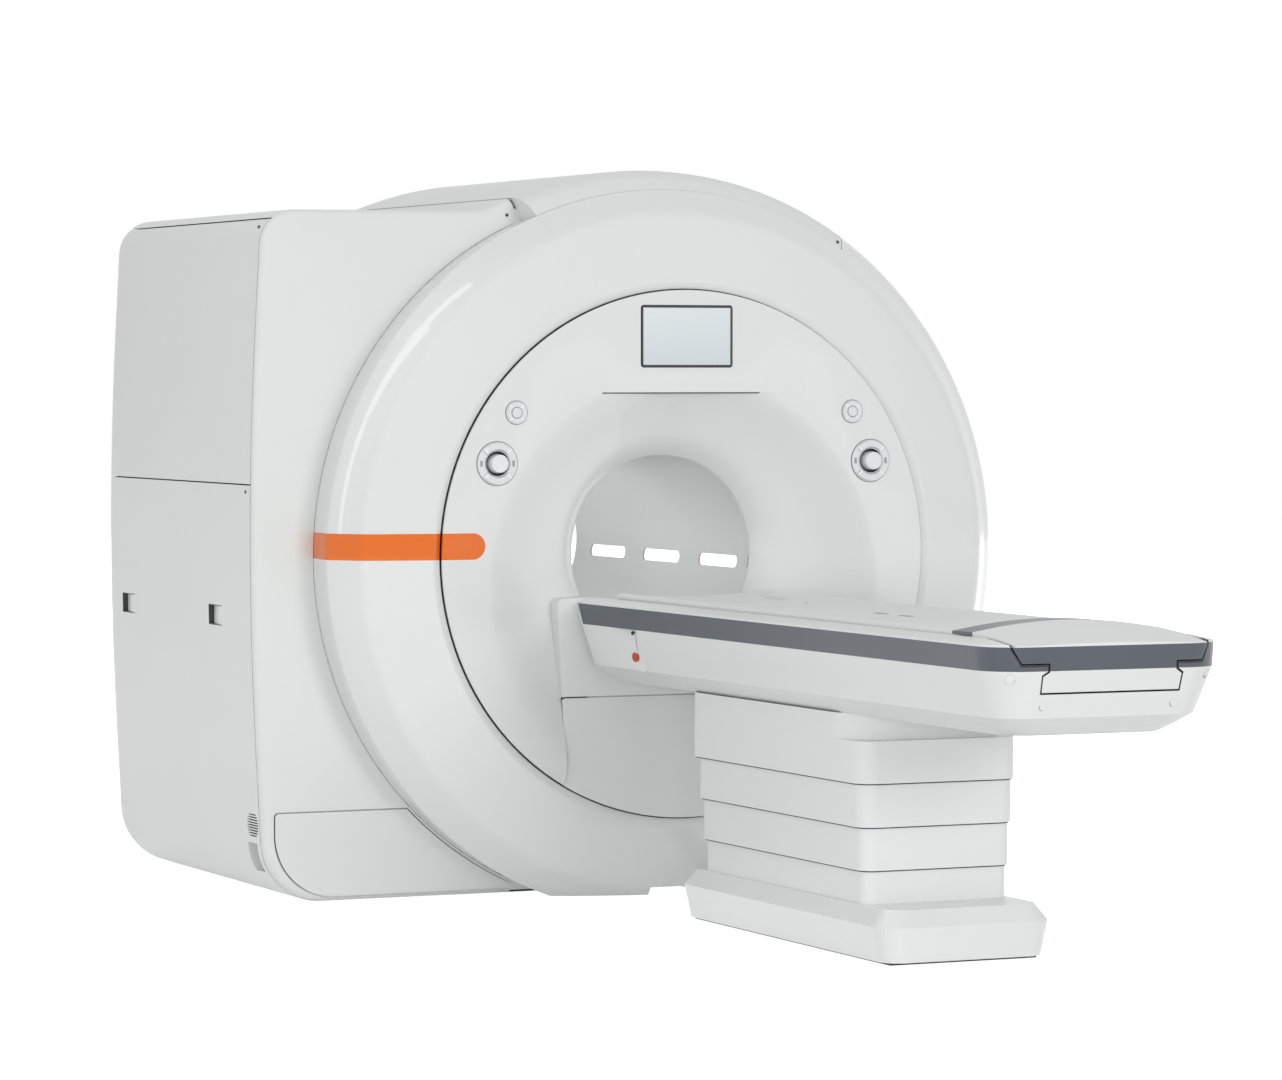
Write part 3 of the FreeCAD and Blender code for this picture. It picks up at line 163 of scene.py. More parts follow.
COVER_TONES = ((0.735, 0.757, 0.748), (0.708, 0.730, 0.721))
SATIN_GRAIN = (520.0, 0.08)
SATIN_GLOSS = (0.36, 0.46)
cover_satin = plain_finish("satin_gel_coat", COVER_TONES, 1.3, SATIN_GRAIN, SATIN_GLOSS)
roof = welded("top_cover", "roof_shell")
dress(roof, cover_satin)
joined_covers = [roof]

# Wing
# Left-hand housing of the rear electronics: a front cover with the roof, two lift-off side panels
# with finger pulls and a lens-shaped vent, and a low access panel, all of moulded laminate.
for node, name in (
    ("wing_front_cover", "wing_front_shell"),
    ("wing_upper_panel", "wing_upper_shell"),
    ("wing_lower_panel", "wing_lower_shell"),
    ("wing_access_panel", "wing_access_shell"),
):
    wing = welded(node, name)
    dress(wing, cover_satin)
    if node == "wing_lower_panel":
        wing_panel = wing
    joined_covers.append(wing)


def marked_finish(name, tones, scale, grain, gloss):
    """A finish whose base colour stays open for marks that are reckoned from the piece's axes."""
    material, nodes, links, shader = new_finish(name)
    place, tone = mottled(nodes, links, tones, scale)
    surface_grain(nodes, links, place, shader, *grain)
    gloss_drift(nodes, links, place, shader, *gloss)
    axes = nodes.new("ShaderNodeSeparateXYZ")
    links.new(place.outputs["Object"], axes.inputs["Vector"])
    return material, nodes, links, shader, tone, axes


def reckon(operation, *values):
    """A Math node of the finish in hand, fed by sockets or numbers."""
    step = nodes.new("ShaderNodeMath")
    step.operation = operation
    for socket, value in zip(step.inputs, values):
        if isinstance(value, (int, float)):
            socket.default_value = value
        else:
            links.new(value, socket)
    return step.outputs[0]


def painted(mask, under, colour):
    """One colour laid over another where the mask is 1."""
    paint = nodes.new("ShaderNodeMix")
    paint.data_type = "RGBA"
    paint.inputs["B"].default_value = (*colour, 1.0)
    links.new(mask, paint.inputs["Factor"])
    links.new(under, paint.inputs["A"])
    return paint.outputs["Result"]


def either(first, second):
    """1 where one of two masks is 1; there may be no first one yet."""
    return second if first is None else reckon("MAXIMUM", first, second)


def drawn_line(across, up, points, half_widths):
    """1 along a line through points, each stretch with its own half width, else 0."""
    line = None
    for (a, b), (c, d), half in zip(points, points[1:], half_widths):
        run, rise = c - a, d - b
        off, high = reckon("SUBTRACT", across, a), reckon("SUBTRACT", up, b)
        along = reckon("ADD", reckon("MULTIPLY", off, run), reckon("MULTIPLY", high, rise))
        along = reckon("DIVIDE", along, run * run + rise * rise)
        along = reckon("MINIMUM", reckon("MAXIMUM", along, 0.0), 1.0)
        off = reckon("SUBTRACT", off, reckon("MULTIPLY", along, run))
        high = reckon("SUBTRACT", high, reckon("MULTIPLY", along, rise))
        apart = reckon("ADD", reckon("MULTIPLY", off, off), reckon("MULTIPLY", high, high))
        line = either(line, reckon("LESS_THAN", apart, half * half))
    return line


SHADOW_GREY = (0.045, 0.048, 0.052)
PULL_LOW = 0.829
PULL_HIGH = 0.889
PULL_SPANS = ((-0.274, -0.155), (0.559, 0.678))  # front and rear edge of each finger pull
PULL_LINES = (0.0016, 0.0022, 0.0016)  # half widths of its top, rear and foot line
pull_satin, nodes, links, shader, tone, axes = marked_finish(
    "panel_gel_coat", COVER_TONES, 1.3, SATIN_GRAIN, SATIN_GLOSS)
# The finger pulls' outlines are painted on in shadow grey: painted shade of their recesses.
pull_shade_lines = None
for front, back in PULL_SPANS:
    outline = ((front, PULL_HIGH), (back, PULL_HIGH), (back, PULL_LOW), (front, PULL_LOW))
    pull_shade_lines = either(pull_shade_lines, drawn_line(axes.outputs["Y"], axes.outputs["Z"], outline, PULL_LINES))
links.new(painted(pull_shade_lines, tone.outputs["Color"], SHADOW_GREY), shader.inputs["Base Color"])
dress(wing_panel, pull_satin)


# Cover screws
# Small recessed button heads of steel, turned, threaded and blackened in a hot oxide bath. They
# hold the covers to the frame behind them.
def dress_parts(finish, *parts):
    """Gives pieces that keep the frame's own mesh a finish."""
    for part in parts:
        dress(frame["nodes"][part], finish)


screw_black = plain_finish(
    "black_oxide", ((0.060, 0.062, 0.065), (0.035, 0.036, 0.038)), 60.0,
    grain=(900.0, 0.2), gloss=(0.35, 0.5, 80.0))
dress_parts(screw_black, "cover_screws")


# Closing plates
# Small satin plates, cut from the covers' laminate, that close the wing's front to the roof above
# and to the ring at the floor. They are bonded in from behind.
def closing_plate(name, corners, front, back, cut=None):
    """A thin plate between two corners in the wing's front plane, cut on the slant when asked."""
    (x0, z0), (x1, z1) = corners
    bpy.ops.object.select_all(action="DESELECT")
    middle = ((x0 + x1) / 2, (front + back) / 2, (z0 + z1) / 2)
    bpy.ops.mesh.primitive_cube_add(size=1.0, location=middle)
    plate = bpy.context.object
    plate.name = name
    plate.scale = (x1 - x0, back - front, z1 - z0)
    bpy.ops.object.transform_apply(location=True, rotation=True, scale=True)
    bpy.ops.object.mode_set(mode="EDIT")
    bpy.ops.mesh.select_all(action="SELECT")
    if cut:
        bpy.ops.mesh.bisect(plane_co=cut[0], plane_no=cut[1], use_fill=True, clear_outer=True)
        bpy.ops.mesh.select_all(action="SELECT")
    bpy.ops.mesh.normals_make_consistent(inside=False)
    bpy.ops.mesh.bevel(offset=0.0012, segments=2, affect="EDGES")
    bpy.ops.object.mode_set(mode="OBJECT")
    bpy.ops.object.shade_smooth_by_angle(angle=math.radians(40.0))
    dress(plate, cover_satin)
    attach(plate, "gantry_and_base")
    plate.select_set(False)


ROOF_PLATE = ((-0.470, 2.030), (-0.340, 2.145))  # x and z of two corners
FLOOR_PLATE = ((-0.480, 0.012), (-0.370, 0.070))
ROOF_CUT = ((-0.463, -0.55, 2.104), (0.265, 0.0, 0.964))  # point on the slanted edge, its normal
closing_plate("roof_closing_plate", ROOF_PLATE, -0.5540, -0.5480, ROOF_CUT)
closing_plate("floor_closing_plate", FLOOR_PLATE, -0.5500, -0.5440)

# Front ring cover
# One large moulding of gloss white gel coat with a tapered bevel and a full outer edge. An orange
# film band with a rounded end is laid over its left side at bore height.
ORANGE = (0.765, 0.145, 0.0)
BAND_LOW = 1.040
BAND_HIGH = 1.119
BAND_END = -0.664  # tip of the rounded end
BAND_SIDE = -0.6  # the band stays left of this
# Painted shadow: a dark grey line along the underside of the face cover's brow ledge.
BROW_SHADOW_LINE = ((-0.279, 1.536), (0.247, 1.536))
BROW_SHADOW_HALF = 0.0022
BROW_SHADOW_GREY = (0.12, 0.125, 0.13)

cover_gloss, nodes, links, shader, tone, axes = marked_finish(
    "gloss_gel_coat", COVER_TONES, 1.6, grain=(420.0, 0.04), gloss=(0.24, 0.27))
shader.inputs["Specular IOR Level"].default_value = 0.3
shader.inputs["Coat Weight"].default_value = 0.5
shader.inputs["Coat Roughness"].default_value = 0.03
band_middle = (BAND_LOW + BAND_HIGH) / 2
band_half = (BAND_HIGH - BAND_LOW) / 2
off_middle = reckon("SUBTRACT", axes.outputs["Z"], band_middle)
past_end = reckon("MAXIMUM", reckon("SUBTRACT", axes.outputs["X"], BAND_END - band_half), 0.0)
off_squared = reckon("MULTIPLY", off_middle, off_middle)
past_squared = reckon("MULTIPLY", past_end, past_end)
in_band = reckon("LESS_THAN", reckon("SQRT", reckon("ADD", off_squared, past_squared)), band_half)
in_band = reckon("MULTIPLY", in_band, reckon("LESS_THAN", axes.outputs["X"], BAND_SIDE))
brow_shadow = drawn_line(axes.outputs["X"], axes.outputs["Z"], BROW_SHADOW_LINE, (BROW_SHADOW_HALF,))
unbanded = painted(brow_shadow, tone.outputs["Color"], BROW_SHADOW_GREY)
links.new(painted(in_band, unbanded, ORANGE), shader.inputs["Base Color"])

ring = welded("front_ring_cover", "ring_shell")
dress(ring, cover_gloss)
joined_covers.append(ring)

# Front face cover
# Dished moulding inside the ring, drawn in towards the bore mouth, with a brow ledge over the bore.
# It is laid up in one mould in the ring's gloss gel coat and lifts off for service.
# Under its brow ledge the gloss finish carries a painted shadow line.
face = welded("front_face_cover", "face_shell")
dress(face, cover_gloss)
joined_covers.append(face)

# Display
# Flat touch display over the bore: a thin dark moulded frame round bonded glass. It shows a plain
# pale picture that fades upwards.
SCREEN_Z = 1.708
SCREEN_HALF = (0.1455, 0.0865)
display_glass, nodes, links, shader = new_finish("display_glass")
place, frame_tone = mottled(nodes, links, ((0.055, 0.060, 0.066), (0.040, 0.044, 0.050)), 30.0)
axes = nodes.new("ShaderNodeSeparateXYZ")
links.new(place.outputs["Object"], axes.inputs["Vector"])
up = reckon("SUBTRACT", axes.outputs["Z"], SCREEN_Z)
in_width = reckon("LESS_THAN", reckon("ABSOLUTE", axes.outputs["X"]), SCREEN_HALF[0])
in_height = reckon("LESS_THAN", reckon("ABSOLUTE", up), SCREEN_HALF[1])
sway = nodes.new("ShaderNodeTexNoise")
sway.inputs["Scale"].default_value = 5.0
links.new(place.outputs["Object"], sway.inputs["Vector"])
swayed = reckon("ADD", up, reckon("MULTIPLY", sway.outputs["Fac"], 0.05))
wash = nodes.new("ShaderNodeMapRange")
wash.inputs["From Min"].default_value = -0.09
wash.inputs["From Max"].default_value = 0.14
links.new(swayed, wash.inputs["Value"])
picture = nodes.new("ShaderNodeValToRGB")
picture.color_ramp.elements[0].color = (0.60, 0.66, 0.69, 1.0)
picture.color_ramp.elements[1].color = (0.76, 0.80, 0.81, 1.0)
links.new(wash.outputs["Result"], picture.inputs["Fac"])
edge = nodes.new("ShaderNodeMix")
edge.data_type = "RGBA"
links.new(reckon("MULTIPLY", in_width, in_height), edge.inputs["Factor"])
links.new(frame_tone.outputs["Color"], edge.inputs["A"])
links.new(picture.outputs["Color"], edge.inputs["B"])
links.new(edge.outputs["Result"], shader.inputs["Base Color"])
gloss_drift(nodes, links, place, shader, 0.10, 0.16, 12.0)
dress_parts(display_glass, "display_screen")

# Face controls
# Round housings with keys and a turning knob, injection moulded in satin light grey; the well round
# each knob is black, the key gaps are painted shade grey and the spokes carry painted highlights.
LARGE_CONTROL = (0.6255, 1.326)  # x and z of the middle
SMALL_CONTROL = (0.5625, 1.478)
CONTROL_LINES = (
    # middle, gap circles as radius and half width, radii between which the spokes' painted
    # highlights lie
    (SMALL_CONTROL, ((0.0352, 0.0009), (0.0170, 0.0013)), (0.0185, 0.0342)),
    (LARGE_CONTROL, ((0.0655, 0.0010), (0.0400, 0.0012)), (0.0415, 0.0640)),
)
SPOKE_HALF = 0.0022
GAP_SHADE = (0.30, 0.31, 0.32)
SPOKE_HIGHLIGHT_WHITE = (0.92, 0.93, 0.93)
PLASTIC_DEPTH = 0.0003  # of the grain

key_marked, nodes, links, shader, tone, axes = marked_finish(
    "moulded_key_grey", ((0.73, 0.75, 0.75), (0.70, 0.72, 0.72)), 20.0,
    grain=(900.0, 0.08, PLASTIC_DEPTH), gloss=(0.28, 0.38, 20.0))
gaps, spoke_highlights = None, None
for (middle_x, middle_z), circles, spokes in CONTROL_LINES:
    across = reckon("SUBTRACT", reckon("ABSOLUTE", axes.outputs["X"]), middle_x)
    across = reckon("ABSOLUTE", across)
    high = reckon("ABSOLUTE", reckon("SUBTRACT", axes.outputs["Z"], middle_z))
    squares = reckon("ADD", reckon("MULTIPLY", across, across), reckon("MULTIPLY", high, high))
    radius = reckon("SQRT", squares)
    off_spoke = reckon("ABSOLUTE", reckon("SUBTRACT", across, high))
    on_spoke = reckon("LESS_THAN", off_spoke, SPOKE_HALF)
    on_spoke = reckon("MULTIPLY", on_spoke, reckon("GREATER_THAN", radius, spokes[0]))
    on_spoke = reckon("MULTIPLY", on_spoke, reckon("LESS_THAN", radius, spokes[1]))
    spoke_highlights = either(spoke_highlights, on_spoke)
    for size, half in circles:
        off_circle = reckon("ABSOLUTE", reckon("SUBTRACT", radius, size))
        gaps = either(gaps, reckon("LESS_THAN", off_circle, half))
# Painted shade on the gap circles and painted highlights along the spokes.
shaded = painted(gaps, tone.outputs["Color"], GAP_SHADE)
links.new(painted(spoke_highlights, shaded, SPOKE_HIGHLIGHT_WHITE), shader.inputs["Base Color"])

knob_silver = plain_finish(
    "knob_silver", ((0.80, 0.81, 0.82), (0.72, 0.73, 0.74)), 25.0,
    grain=(900.0, 0.06, PLASTIC_DEPTH), gloss=(0.16, 0.24, 30.0))
well_black = plain_finish(
    "well_black", ((0.030, 0.032, 0.035), (0.018, 0.019, 0.021)), 40.0,
    grain=(900.0, 0.15, PLASTIC_DEPTH), gloss=(0.45, 0.6, 40.0))
# Grey for the floors of the key gaps: painted shade.
gap_shade_grey = plain_finish(
    "key_gap_shade_grey", ((0.38, 0.39, 0.39), (0.32, 0.33, 0.33)), 40.0,
    grain=(900.0, 0.1, PLASTIC_DEPTH), gloss=(0.4, 0.5, 40.0))

FACE_Y = -0.849
LARGE_RIM_Y = FACE_Y - 0.0028  # behind its rim a housing shows its well and its gaps
SMALL_RIM_Y = FACE_Y - 0.0018
GAP_BACK_Y = FACE_Y + 0.007
WELL_R = 0.0385
large_housings = welded("large_control_housings", "large_housings")
dress(large_housings, key_marked, well_black, gap_shade_grey)
# Behind the rim: black in the knob's well, painted shade grey in the key gaps.
for polygon in large_housings.data.polygons:
    middle = polygon.center
    to_knob = math.hypot(abs(middle.x) - LARGE_CONTROL[0], middle.z - LARGE_CONTROL[1])
    if middle.y > LARGE_RIM_Y and to_knob < WELL_R:
        polygon.material_index = 1
    elif LARGE_RIM_Y < middle.y < GAP_BACK_Y:
        polygon.material_index = 2
small_housings = welded("small_control_housings", "small_housings")
dress(small_housings, key_marked, gap_shade_grey)
for polygon in small_housings.data.polygons:
    if SMALL_RIM_Y < polygon.center.y < GAP_BACK_Y:
        polygon.material_index = 1
for side in ("left", "right"):
    dress(welded("jog_knob_" + side, "knob_" + side), knob_silver)
    for node in ("upper_key_", "lower_key_", "four_way_key_", "centre_button_"):
        dress(welded(node + side, node + side + "_cap"), key_marked)

# Bore
# Satin laminate tunnel with the table's track along its floor. Long rounded light windows of opal
# acrylic glow through slots at arm height, each with a grey edge.
bore_lining = plain_finish(
    "bore_lining", ((0.730, 0.750, 0.742), (0.700, 0.720, 0.712)), 2.0,
    grain=(500.0, 0.06), gloss=(0.34, 0.44))
slot_grey = plain_finish(
    "slot_edge_grey", ((0.30, 0.31, 0.32), (0.26, 0.27, 0.28)), 20.0,
    grain=(700.0, 0.1), gloss=(0.4, 0.5, 12.0))

BORE_Z = 1.046
INSIDE_WALL = (0.3004, 0.3056)  # radii between which only the slots' edges lie
SLOT_Z = 1.008
SLOT_HALF = 0.022
tunnel = welded("bore_liner", "tunnel_shell")
dress(tunnel, bore_lining, slot_grey)
for polygon in tunnel.data.polygons:
    middle = polygon.center
    out = math.hypot(middle.x, middle.z - BORE_Z)
    if abs(middle.z - SLOT_Z) < SLOT_HALF and INSIDE_WALL[0] < out < INSIDE_WALL[1]:
        polygon.material_index = 1
dress(welded("bore_bridge", "tunnel_track"), bore_lining)

light_window, nodes, links, shader = new_finish("opal_light_window")
place, tone = mottled(nodes, links, ((0.95, 0.96, 0.97), (0.92, 0.93, 0.94)), 9.0)
links.new(tone.outputs["Color"], shader.inputs["Base Color"])
links.new(tone.outputs["Color"], shader.inputs["Emission Color"])
shader.inputs["Emission Strength"].default_value = 1.0
gloss_drift(nodes, links, place, shader, 0.3, 0.4, 10.0)
dress_parts(light_window, "bore_light_windows")

# Rear and side covers
# Flat rear panel with a flared funnel and the plain curved cover of the right side, both laid up
# in satin gel coat and screwed to the cover frame.
for node, name in (("rear_cover", "rear_shell"), ("right_side_cover", "side_shell")):
    cover = welded(node, name)
    dress(cover, cover_satin)
    joined_covers.append(cover)

# Dock pillar and lower panel
# Moulded pillar under the bore with the table's docking channel, and the lift-off panel below it,
# both in the covers' satin gel coat.
dock_covers = []
for node, name in (
    ("dock_pillar_cover", "pillar_shell"),
    ("lower_front_panel", "lower_panel_shell"),
):
    cover = welded(node, name)
    dress(cover, cover_satin)
    dock_covers.append(cover)

# Tabletop
# Laminate cradle with a concave top. Thin grey index lines and two coil-socket marks are printed on
# it near the head end.
MARKS = (
    # middle x, middle y, half length across, half length along
    (0.118, -1.215, 0.003, 0.075),
    (0.152, -1.140, 0.002, 0.100),
    (-0.062, -1.590, 0.030, 0.004),
    (0.105, -1.455, 0.006, 0.010),
    (0.040, -2.063, 0.012, 0.040),
    (0.040, -2.213, 0.012, 0.040),
)
PRINTED_FROM = 0.900  # height over which there is print
PRINT_GREY = (0.20, 0.21, 0.22)
board_white, nodes, links, shader, tone, axes = marked_finish(
    "cradle_laminate", ((0.745, 0.765, 0.757), (0.715, 0.735, 0.727)), 2.2,
    grain=(380.0, 0.10), gloss=(0.38, 0.50, 5.0))


def off_mark(socket, middle, half):
    """0 in the middle of a mark, 1 at its edge, and steep there, so that its corners round off."""
    off = reckon("DIVIDE", reckon("SUBTRACT", socket, middle), half)
    return reckon("POWER", reckon("ABSOLUTE", off), 4.0)


printed = None
for middle_x, middle_y, half_x, half_y in MARKS:
    across = off_mark(axes.outputs["X"], middle_x, half_x)
    along = off_mark(axes.outputs["Y"], middle_y, half_y)
    printed = either(printed, reckon("LESS_THAN", reckon("ADD", across, along), 1.0))
on_top = reckon("GREATER_THAN", axes.outputs["Z"], PRINTED_FROM)
printed = reckon("MULTIPLY", printed, on_top)
links.new(painted(printed, tone.outputs["Color"], PRINT_GREY), shader.inputs["Base Color"])
dress(welded("tabletop", "cradle_board"), board_white)

# End cap
# Moulded foot end of the tabletop: a crowned top and the block that closes the body's channel. It
# is laminate in satin gel coat, and a shadow line is painted where it meets the body.
FOOT_FACE = -3.30  # the joint's painted shadow shows from here to the foot end
CAP_JOINT_SHADOW = (
    (0.294, 0.918), (0.2895, 0.898), (0.2655, 0.8555), (0.1885, 0.8555),
    (0.1885, 0.8385), (0.2055, 0.8275), (0.2035, 0.7815), (0.0, 0.7815),
)
CAP_JOINT_SHADOW_HALF = (0.0018, 0.0030, 0.0042, 0.0034, 0.0030, 0.0022, 0.0026)


def cap_joint_shadow():
    """1 on the shadow line of the joint between the body and its end cap, at the foot end."""
    across = reckon("ABSOLUTE", axes.outputs["X"])
    line = drawn_line(across, axes.outputs["Z"], CAP_JOINT_SHADOW, CAP_JOINT_SHADOW_HALF)
    return reckon("MULTIPLY", line, reckon("LESS_THAN", axes.outputs["Y"], FOOT_FACE))


keel_satin, nodes, links, shader, tone, axes = marked_finish(
    "keel_gel_coat", COVER_TONES, 1.8, SATIN_GRAIN, gloss=(0.34, 0.44))
# Painted shadow of the joint, in shadow grey.
joint_shadow_shown = painted(cap_joint_shadow(), tone.outputs["Color"], SHADOW_GREY)
links.new(joint_shadow_shown, shader.inputs["Base Color"])
end_cap = welded("end_cap", "end_cap_shell")
dress(end_cap, keel_satin)

# Table body
# Keel-shaped laminate body, hollow round a through channel, with a scooped hand recess a side. It
# carries the tabletop's ledges and is bolted to the chassis on the lift.
body = welded("table_body_cover", "table_body_shell")
dress(body, keel_satin)

# Slate bands
# Satin slate-grey lacquered strips let into the body's edge, and the end cap's band and arch,
# which are moulded to match.
JOINT_SHADOW_BLACK = (0.012, 0.013, 0.015)
slate, nodes, links, shader, tone, axes = marked_finish(
    "slate_lacquer", ((0.080, 0.094, 0.112), (0.070, 0.083, 0.099)), 4.0,
    grain=(600.0, 0.1), gloss=(0.30, 0.38))
# The joint's shadow is painted black on the bands at the foot end.
joint_shadow_shown = painted(cap_joint_shadow(), tone.outputs["Color"], JOINT_SHADOW_BLACK)
links.new(joint_shadow_shown, shader.inputs["Base Color"])
side_bands = welded("side_strips", "side_bands")
dress(side_bands, slate)
end_band = welded("end_cap_band", "end_band")
dress(end_band, slate)

# Screw caps
# White injection-moulded plastic caps pressed over the body's screws; their sides are painted grey,
# a painted shadow line round each.
cap_white = plain_finish(
    "cap_plastic", ((0.72, 0.74, 0.735), (0.69, 0.71, 0.705)), 30.0,
    grain=(800.0, 0.08, PLASTIC_DEPTH), gloss=(0.35, 0.45, 30.0))
caps = welded("screw_caps", "screw_covers", 50.0)
dress(caps, cap_white, gap_shade_grey)
# The caps' sides get the grey: painted shade.
for polygon in caps.data.polygons:
    if polygon.normal.y > -0.5:
        polygon.material_index = 1

# Release levers
# Glass-filled nylon arm in each hand recess, white, with a round thumb pad in signal red. It turns
# on a pin in a dark boss.
LEVER_PAD = (0.3075, -1.155, 0.757)
LEVER_PAD_R = 0.0185
LEVER_BOSS_Z = 0.819  # the boss is what lies above
lever_red = plain_finish(
    "signal_red", ((0.50, 0.060, 0.018), (0.44, 0.050, 0.014)), 30.0,
    grain=(900.0, 0.1, PLASTIC_DEPTH), gloss=(0.25, 0.35, 40.0))
for side, sign in (("left", -1.0), ("right", 1.0)):
    lever = welded("release_lever_" + side, "thumb_lever_" + side)
    dress(lever, cap_white, lever_red, well_black)
    pad = Vector((sign * LEVER_PAD[0], LEVER_PAD[1], LEVER_PAD[2]))
    for polygon in lever.data.polygons:
        if (polygon.center - pad).length < LEVER_PAD_R:
            polygon.material_index = 1
        elif polygon.center.z > LEVER_BOSS_Z:
            polygon.material_index = 2

# Lift column
# Four nested rectangular sleeves of painted sheet metal round the lift; a thin black rubber wiper
# closes the gap under each upper sleeve's edge and stands in for the shade there.
sleeve_paint = plain_finish(
    "sleeve_paint", ((0.740, 0.760, 0.752), (0.712, 0.732, 0.724)), 1.8,
    grain=(460.0, 0.10), gloss=(0.32, 0.42))
for node, name in (
    ("upper_sleeve", "sleeve_top_shell"),
    ("second_sleeve", "sleeve_second_shell"),
    ("third_sleeve", "sleeve_third_shell"),
    ("lower_sleeve", "sleeve_low_shell"),
):
    dress(welded(node, name), sleeve_paint)

# Black rubber for the drive belt and the wipers; on the wipers it stands in for shade.
rubber_and_shade_black = plain_finish(
    "rubber_and_shade_black", ((0.045, 0.047, 0.050), (0.028, 0.029, 0.031)), 30.0,
    grain=(700.0, 0.2), gloss=(0.6, 0.75, 20.0))
SHADE_WIPER_HEIGHT = 0.007
SHADE_WIPER_WALL = 0.002


def shade_wiper(name, rides, half, foot, head, corner, low):
    """A rounded ring of black rubber round the next sleeve, standing in for the shade under the
    edge above.
    """
    middle = (0.0, (foot + head) / 2, low + SHADE_WIPER_HEIGHT / 2)
    bpy.ops.object.select_all(action="DESELECT")
    bpy.ops.mesh.primitive_cube_add(size=1.0, location=middle)
    shade_seal = bpy.context.object
    shade_seal.name = name
    shade_seal.scale = (2 * half, head - foot, SHADE_WIPER_HEIGHT)
    bpy.ops.object.transform_apply(location=True, rotation=True, scale=True)
    bpy.ops.object.mode_set(mode="EDIT")
    bpy.ops.mesh.select_mode(type="EDGE")
    bpy.ops.mesh.select_all(action="DESELECT")
    bpy.ops.object.mode_set(mode="OBJECT")
    for line in shade_seal.data.edges:
        a, b = (shade_seal.data.vertices[i].co for i in line.vertices)
        line.select = abs(a.z - b.z) > SHADE_WIPER_HEIGHT / 2
    bpy.ops.object.mode_set(mode="EDIT")
    bpy.ops.mesh.bevel(offset=corner, segments=10)
    bpy.ops.mesh.select_mode(type="FACE")
    bpy.ops.mesh.select_all(action="DESELECT")
    bpy.ops.object.mode_set(mode="OBJECT")
    for side in shade_seal.data.polygons:
        side.select = abs(side.normal.z) > 0.9
    bpy.ops.object.mode_set(mode="EDIT")
    bpy.ops.mesh.delete(type="FACE")
    bpy.ops.object.mode_set(mode="OBJECT")
    wall = shade_seal.modifiers.new("wall", "SOLIDIFY")
    wall.thickness = SHADE_WIPER_WALL
    wall.offset = -1.0
    bpy.ops.object.modifier_apply(modifier="wall")
    bpy.ops.object.shade_smooth_by_angle(angle=math.radians(32.0))
    dress(shade_seal, rubber_and_shade_black)
    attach(shade_seal, rides)
    shade_seal.select_set(False)


SLEEVE_FOOT = -2.502
SHADE_WIPERS = (
    # name, body, half width, inset at the foot, head end, corner radius, underside
    ("shade_wiper_top", "table", 0.2428, 0.0052, -1.3942, 0.0548, 0.4765),
    ("shade_wiper_second", "second_sleeve", 0.2348, 0.0132, -1.4212, 0.0468, 0.3565),
    ("shade_wiper_third", "third_sleeve", 0.2268, 0.0212, -1.4372, 0.0388, 0.2375),
)
for name, rides, half, inset, head, corner, low in SHADE_WIPERS:
    shade_wiper(name, rides, half, SLEEVE_FOOT + inset, head, corner, low)

# Base cover
# Thick moulded shell on the floor with leaning sides and a wide bevel, finished in gloss white. It
# drops over the base plate, which is bolted down.
base_gloss = plain_finish(
    "base_gel_coat", COVER_TONES, 2.4, grain=(430.0, 0.05), gloss=(0.24, 0.32),
    shine=(("Coat Weight", 0.3), ("Coat Roughness", 0.08)))
dress(welded("base_cover", "base_shell"), base_gloss)

# Joint shade
# Faces that look at another cover, or at their own wall, across a narrow joint are painted black,
# so
# that the joints read as thin dark lines: painted shade.
joint_shade_black = plain_finish(
    "painted_joint_shade", ((0.020, 0.021, 0.023), (0.012, 0.013, 0.014)), 25.0,
    grain=(800.0, 0.3), gloss=(0.75, 0.9, 20.0))
COVER_REACH = 0.0065  # how far off the other side of a joint may be
DOCK_REACH = 0.012
BODY_REACH = 0.0045
FAIRING = (-0.80, -0.30, 1.95)  # left, right and foot of the closed corner at the roof: no painted shade


def shade_joints(shells, reach):
    """Paints black shade on the faces that look at another cover, or at their own wall, across a
    joint.
    """
    corners, sides = [], []
    for shell in shells:
        start = len(corners)
        corners += [vertex.co for vertex in shell.data.vertices]
        sides += [[start + i for i in polygon.vertices] for polygon in shell.data.polygons]
    tree = BVHTree.FromPolygons(corners, sides)
    left, right, foot = FAIRING
    for shell in shells:
        if joint_shade_black.name not in shell.data.materials:
            shell.data.materials.append(joint_shade_black)
        slot = shell.data.materials.find(joint_shade_black.name)
        for polygon in shell.data.polygons:
            middle, normal = polygon.center, polygon.normal
            if middle.z > foot and left < middle.x < right:
                continue
            spots = [middle.lerp(shell.data.vertices[i].co, 0.85) for i in polygon.vertices]
            if all(tree.ray_cast(spot + normal * 0.0003, normal, reach)[0] for spot in spots):
                polygon.material_index = slot


shade_joints(joined_covers + dock_covers, COVER_REACH)
shade_joints(dock_covers + [face, ring], DOCK_REACH)
shade_joints([body, side_bands, end_cap, end_band], BODY_REACH)
SEAM_R = 0.807  # the ring's inner wall, painted with joint shade as far in as it shows
SEAM_DEPTH = 0.040
joint_shade_slot = ring.data.materials.find(joint_shade_black.name)
for polygon in ring.data.polygons:
    middle = polygon.center
    off_seam = abs(math.hypot(middle.x, middle.z - BORE_Z) - SEAM_R)
    if off_seam < 0.001 and middle.y < FACE_Y + SEAM_DEPTH:
        polygon.material_index = joint_shade_slot

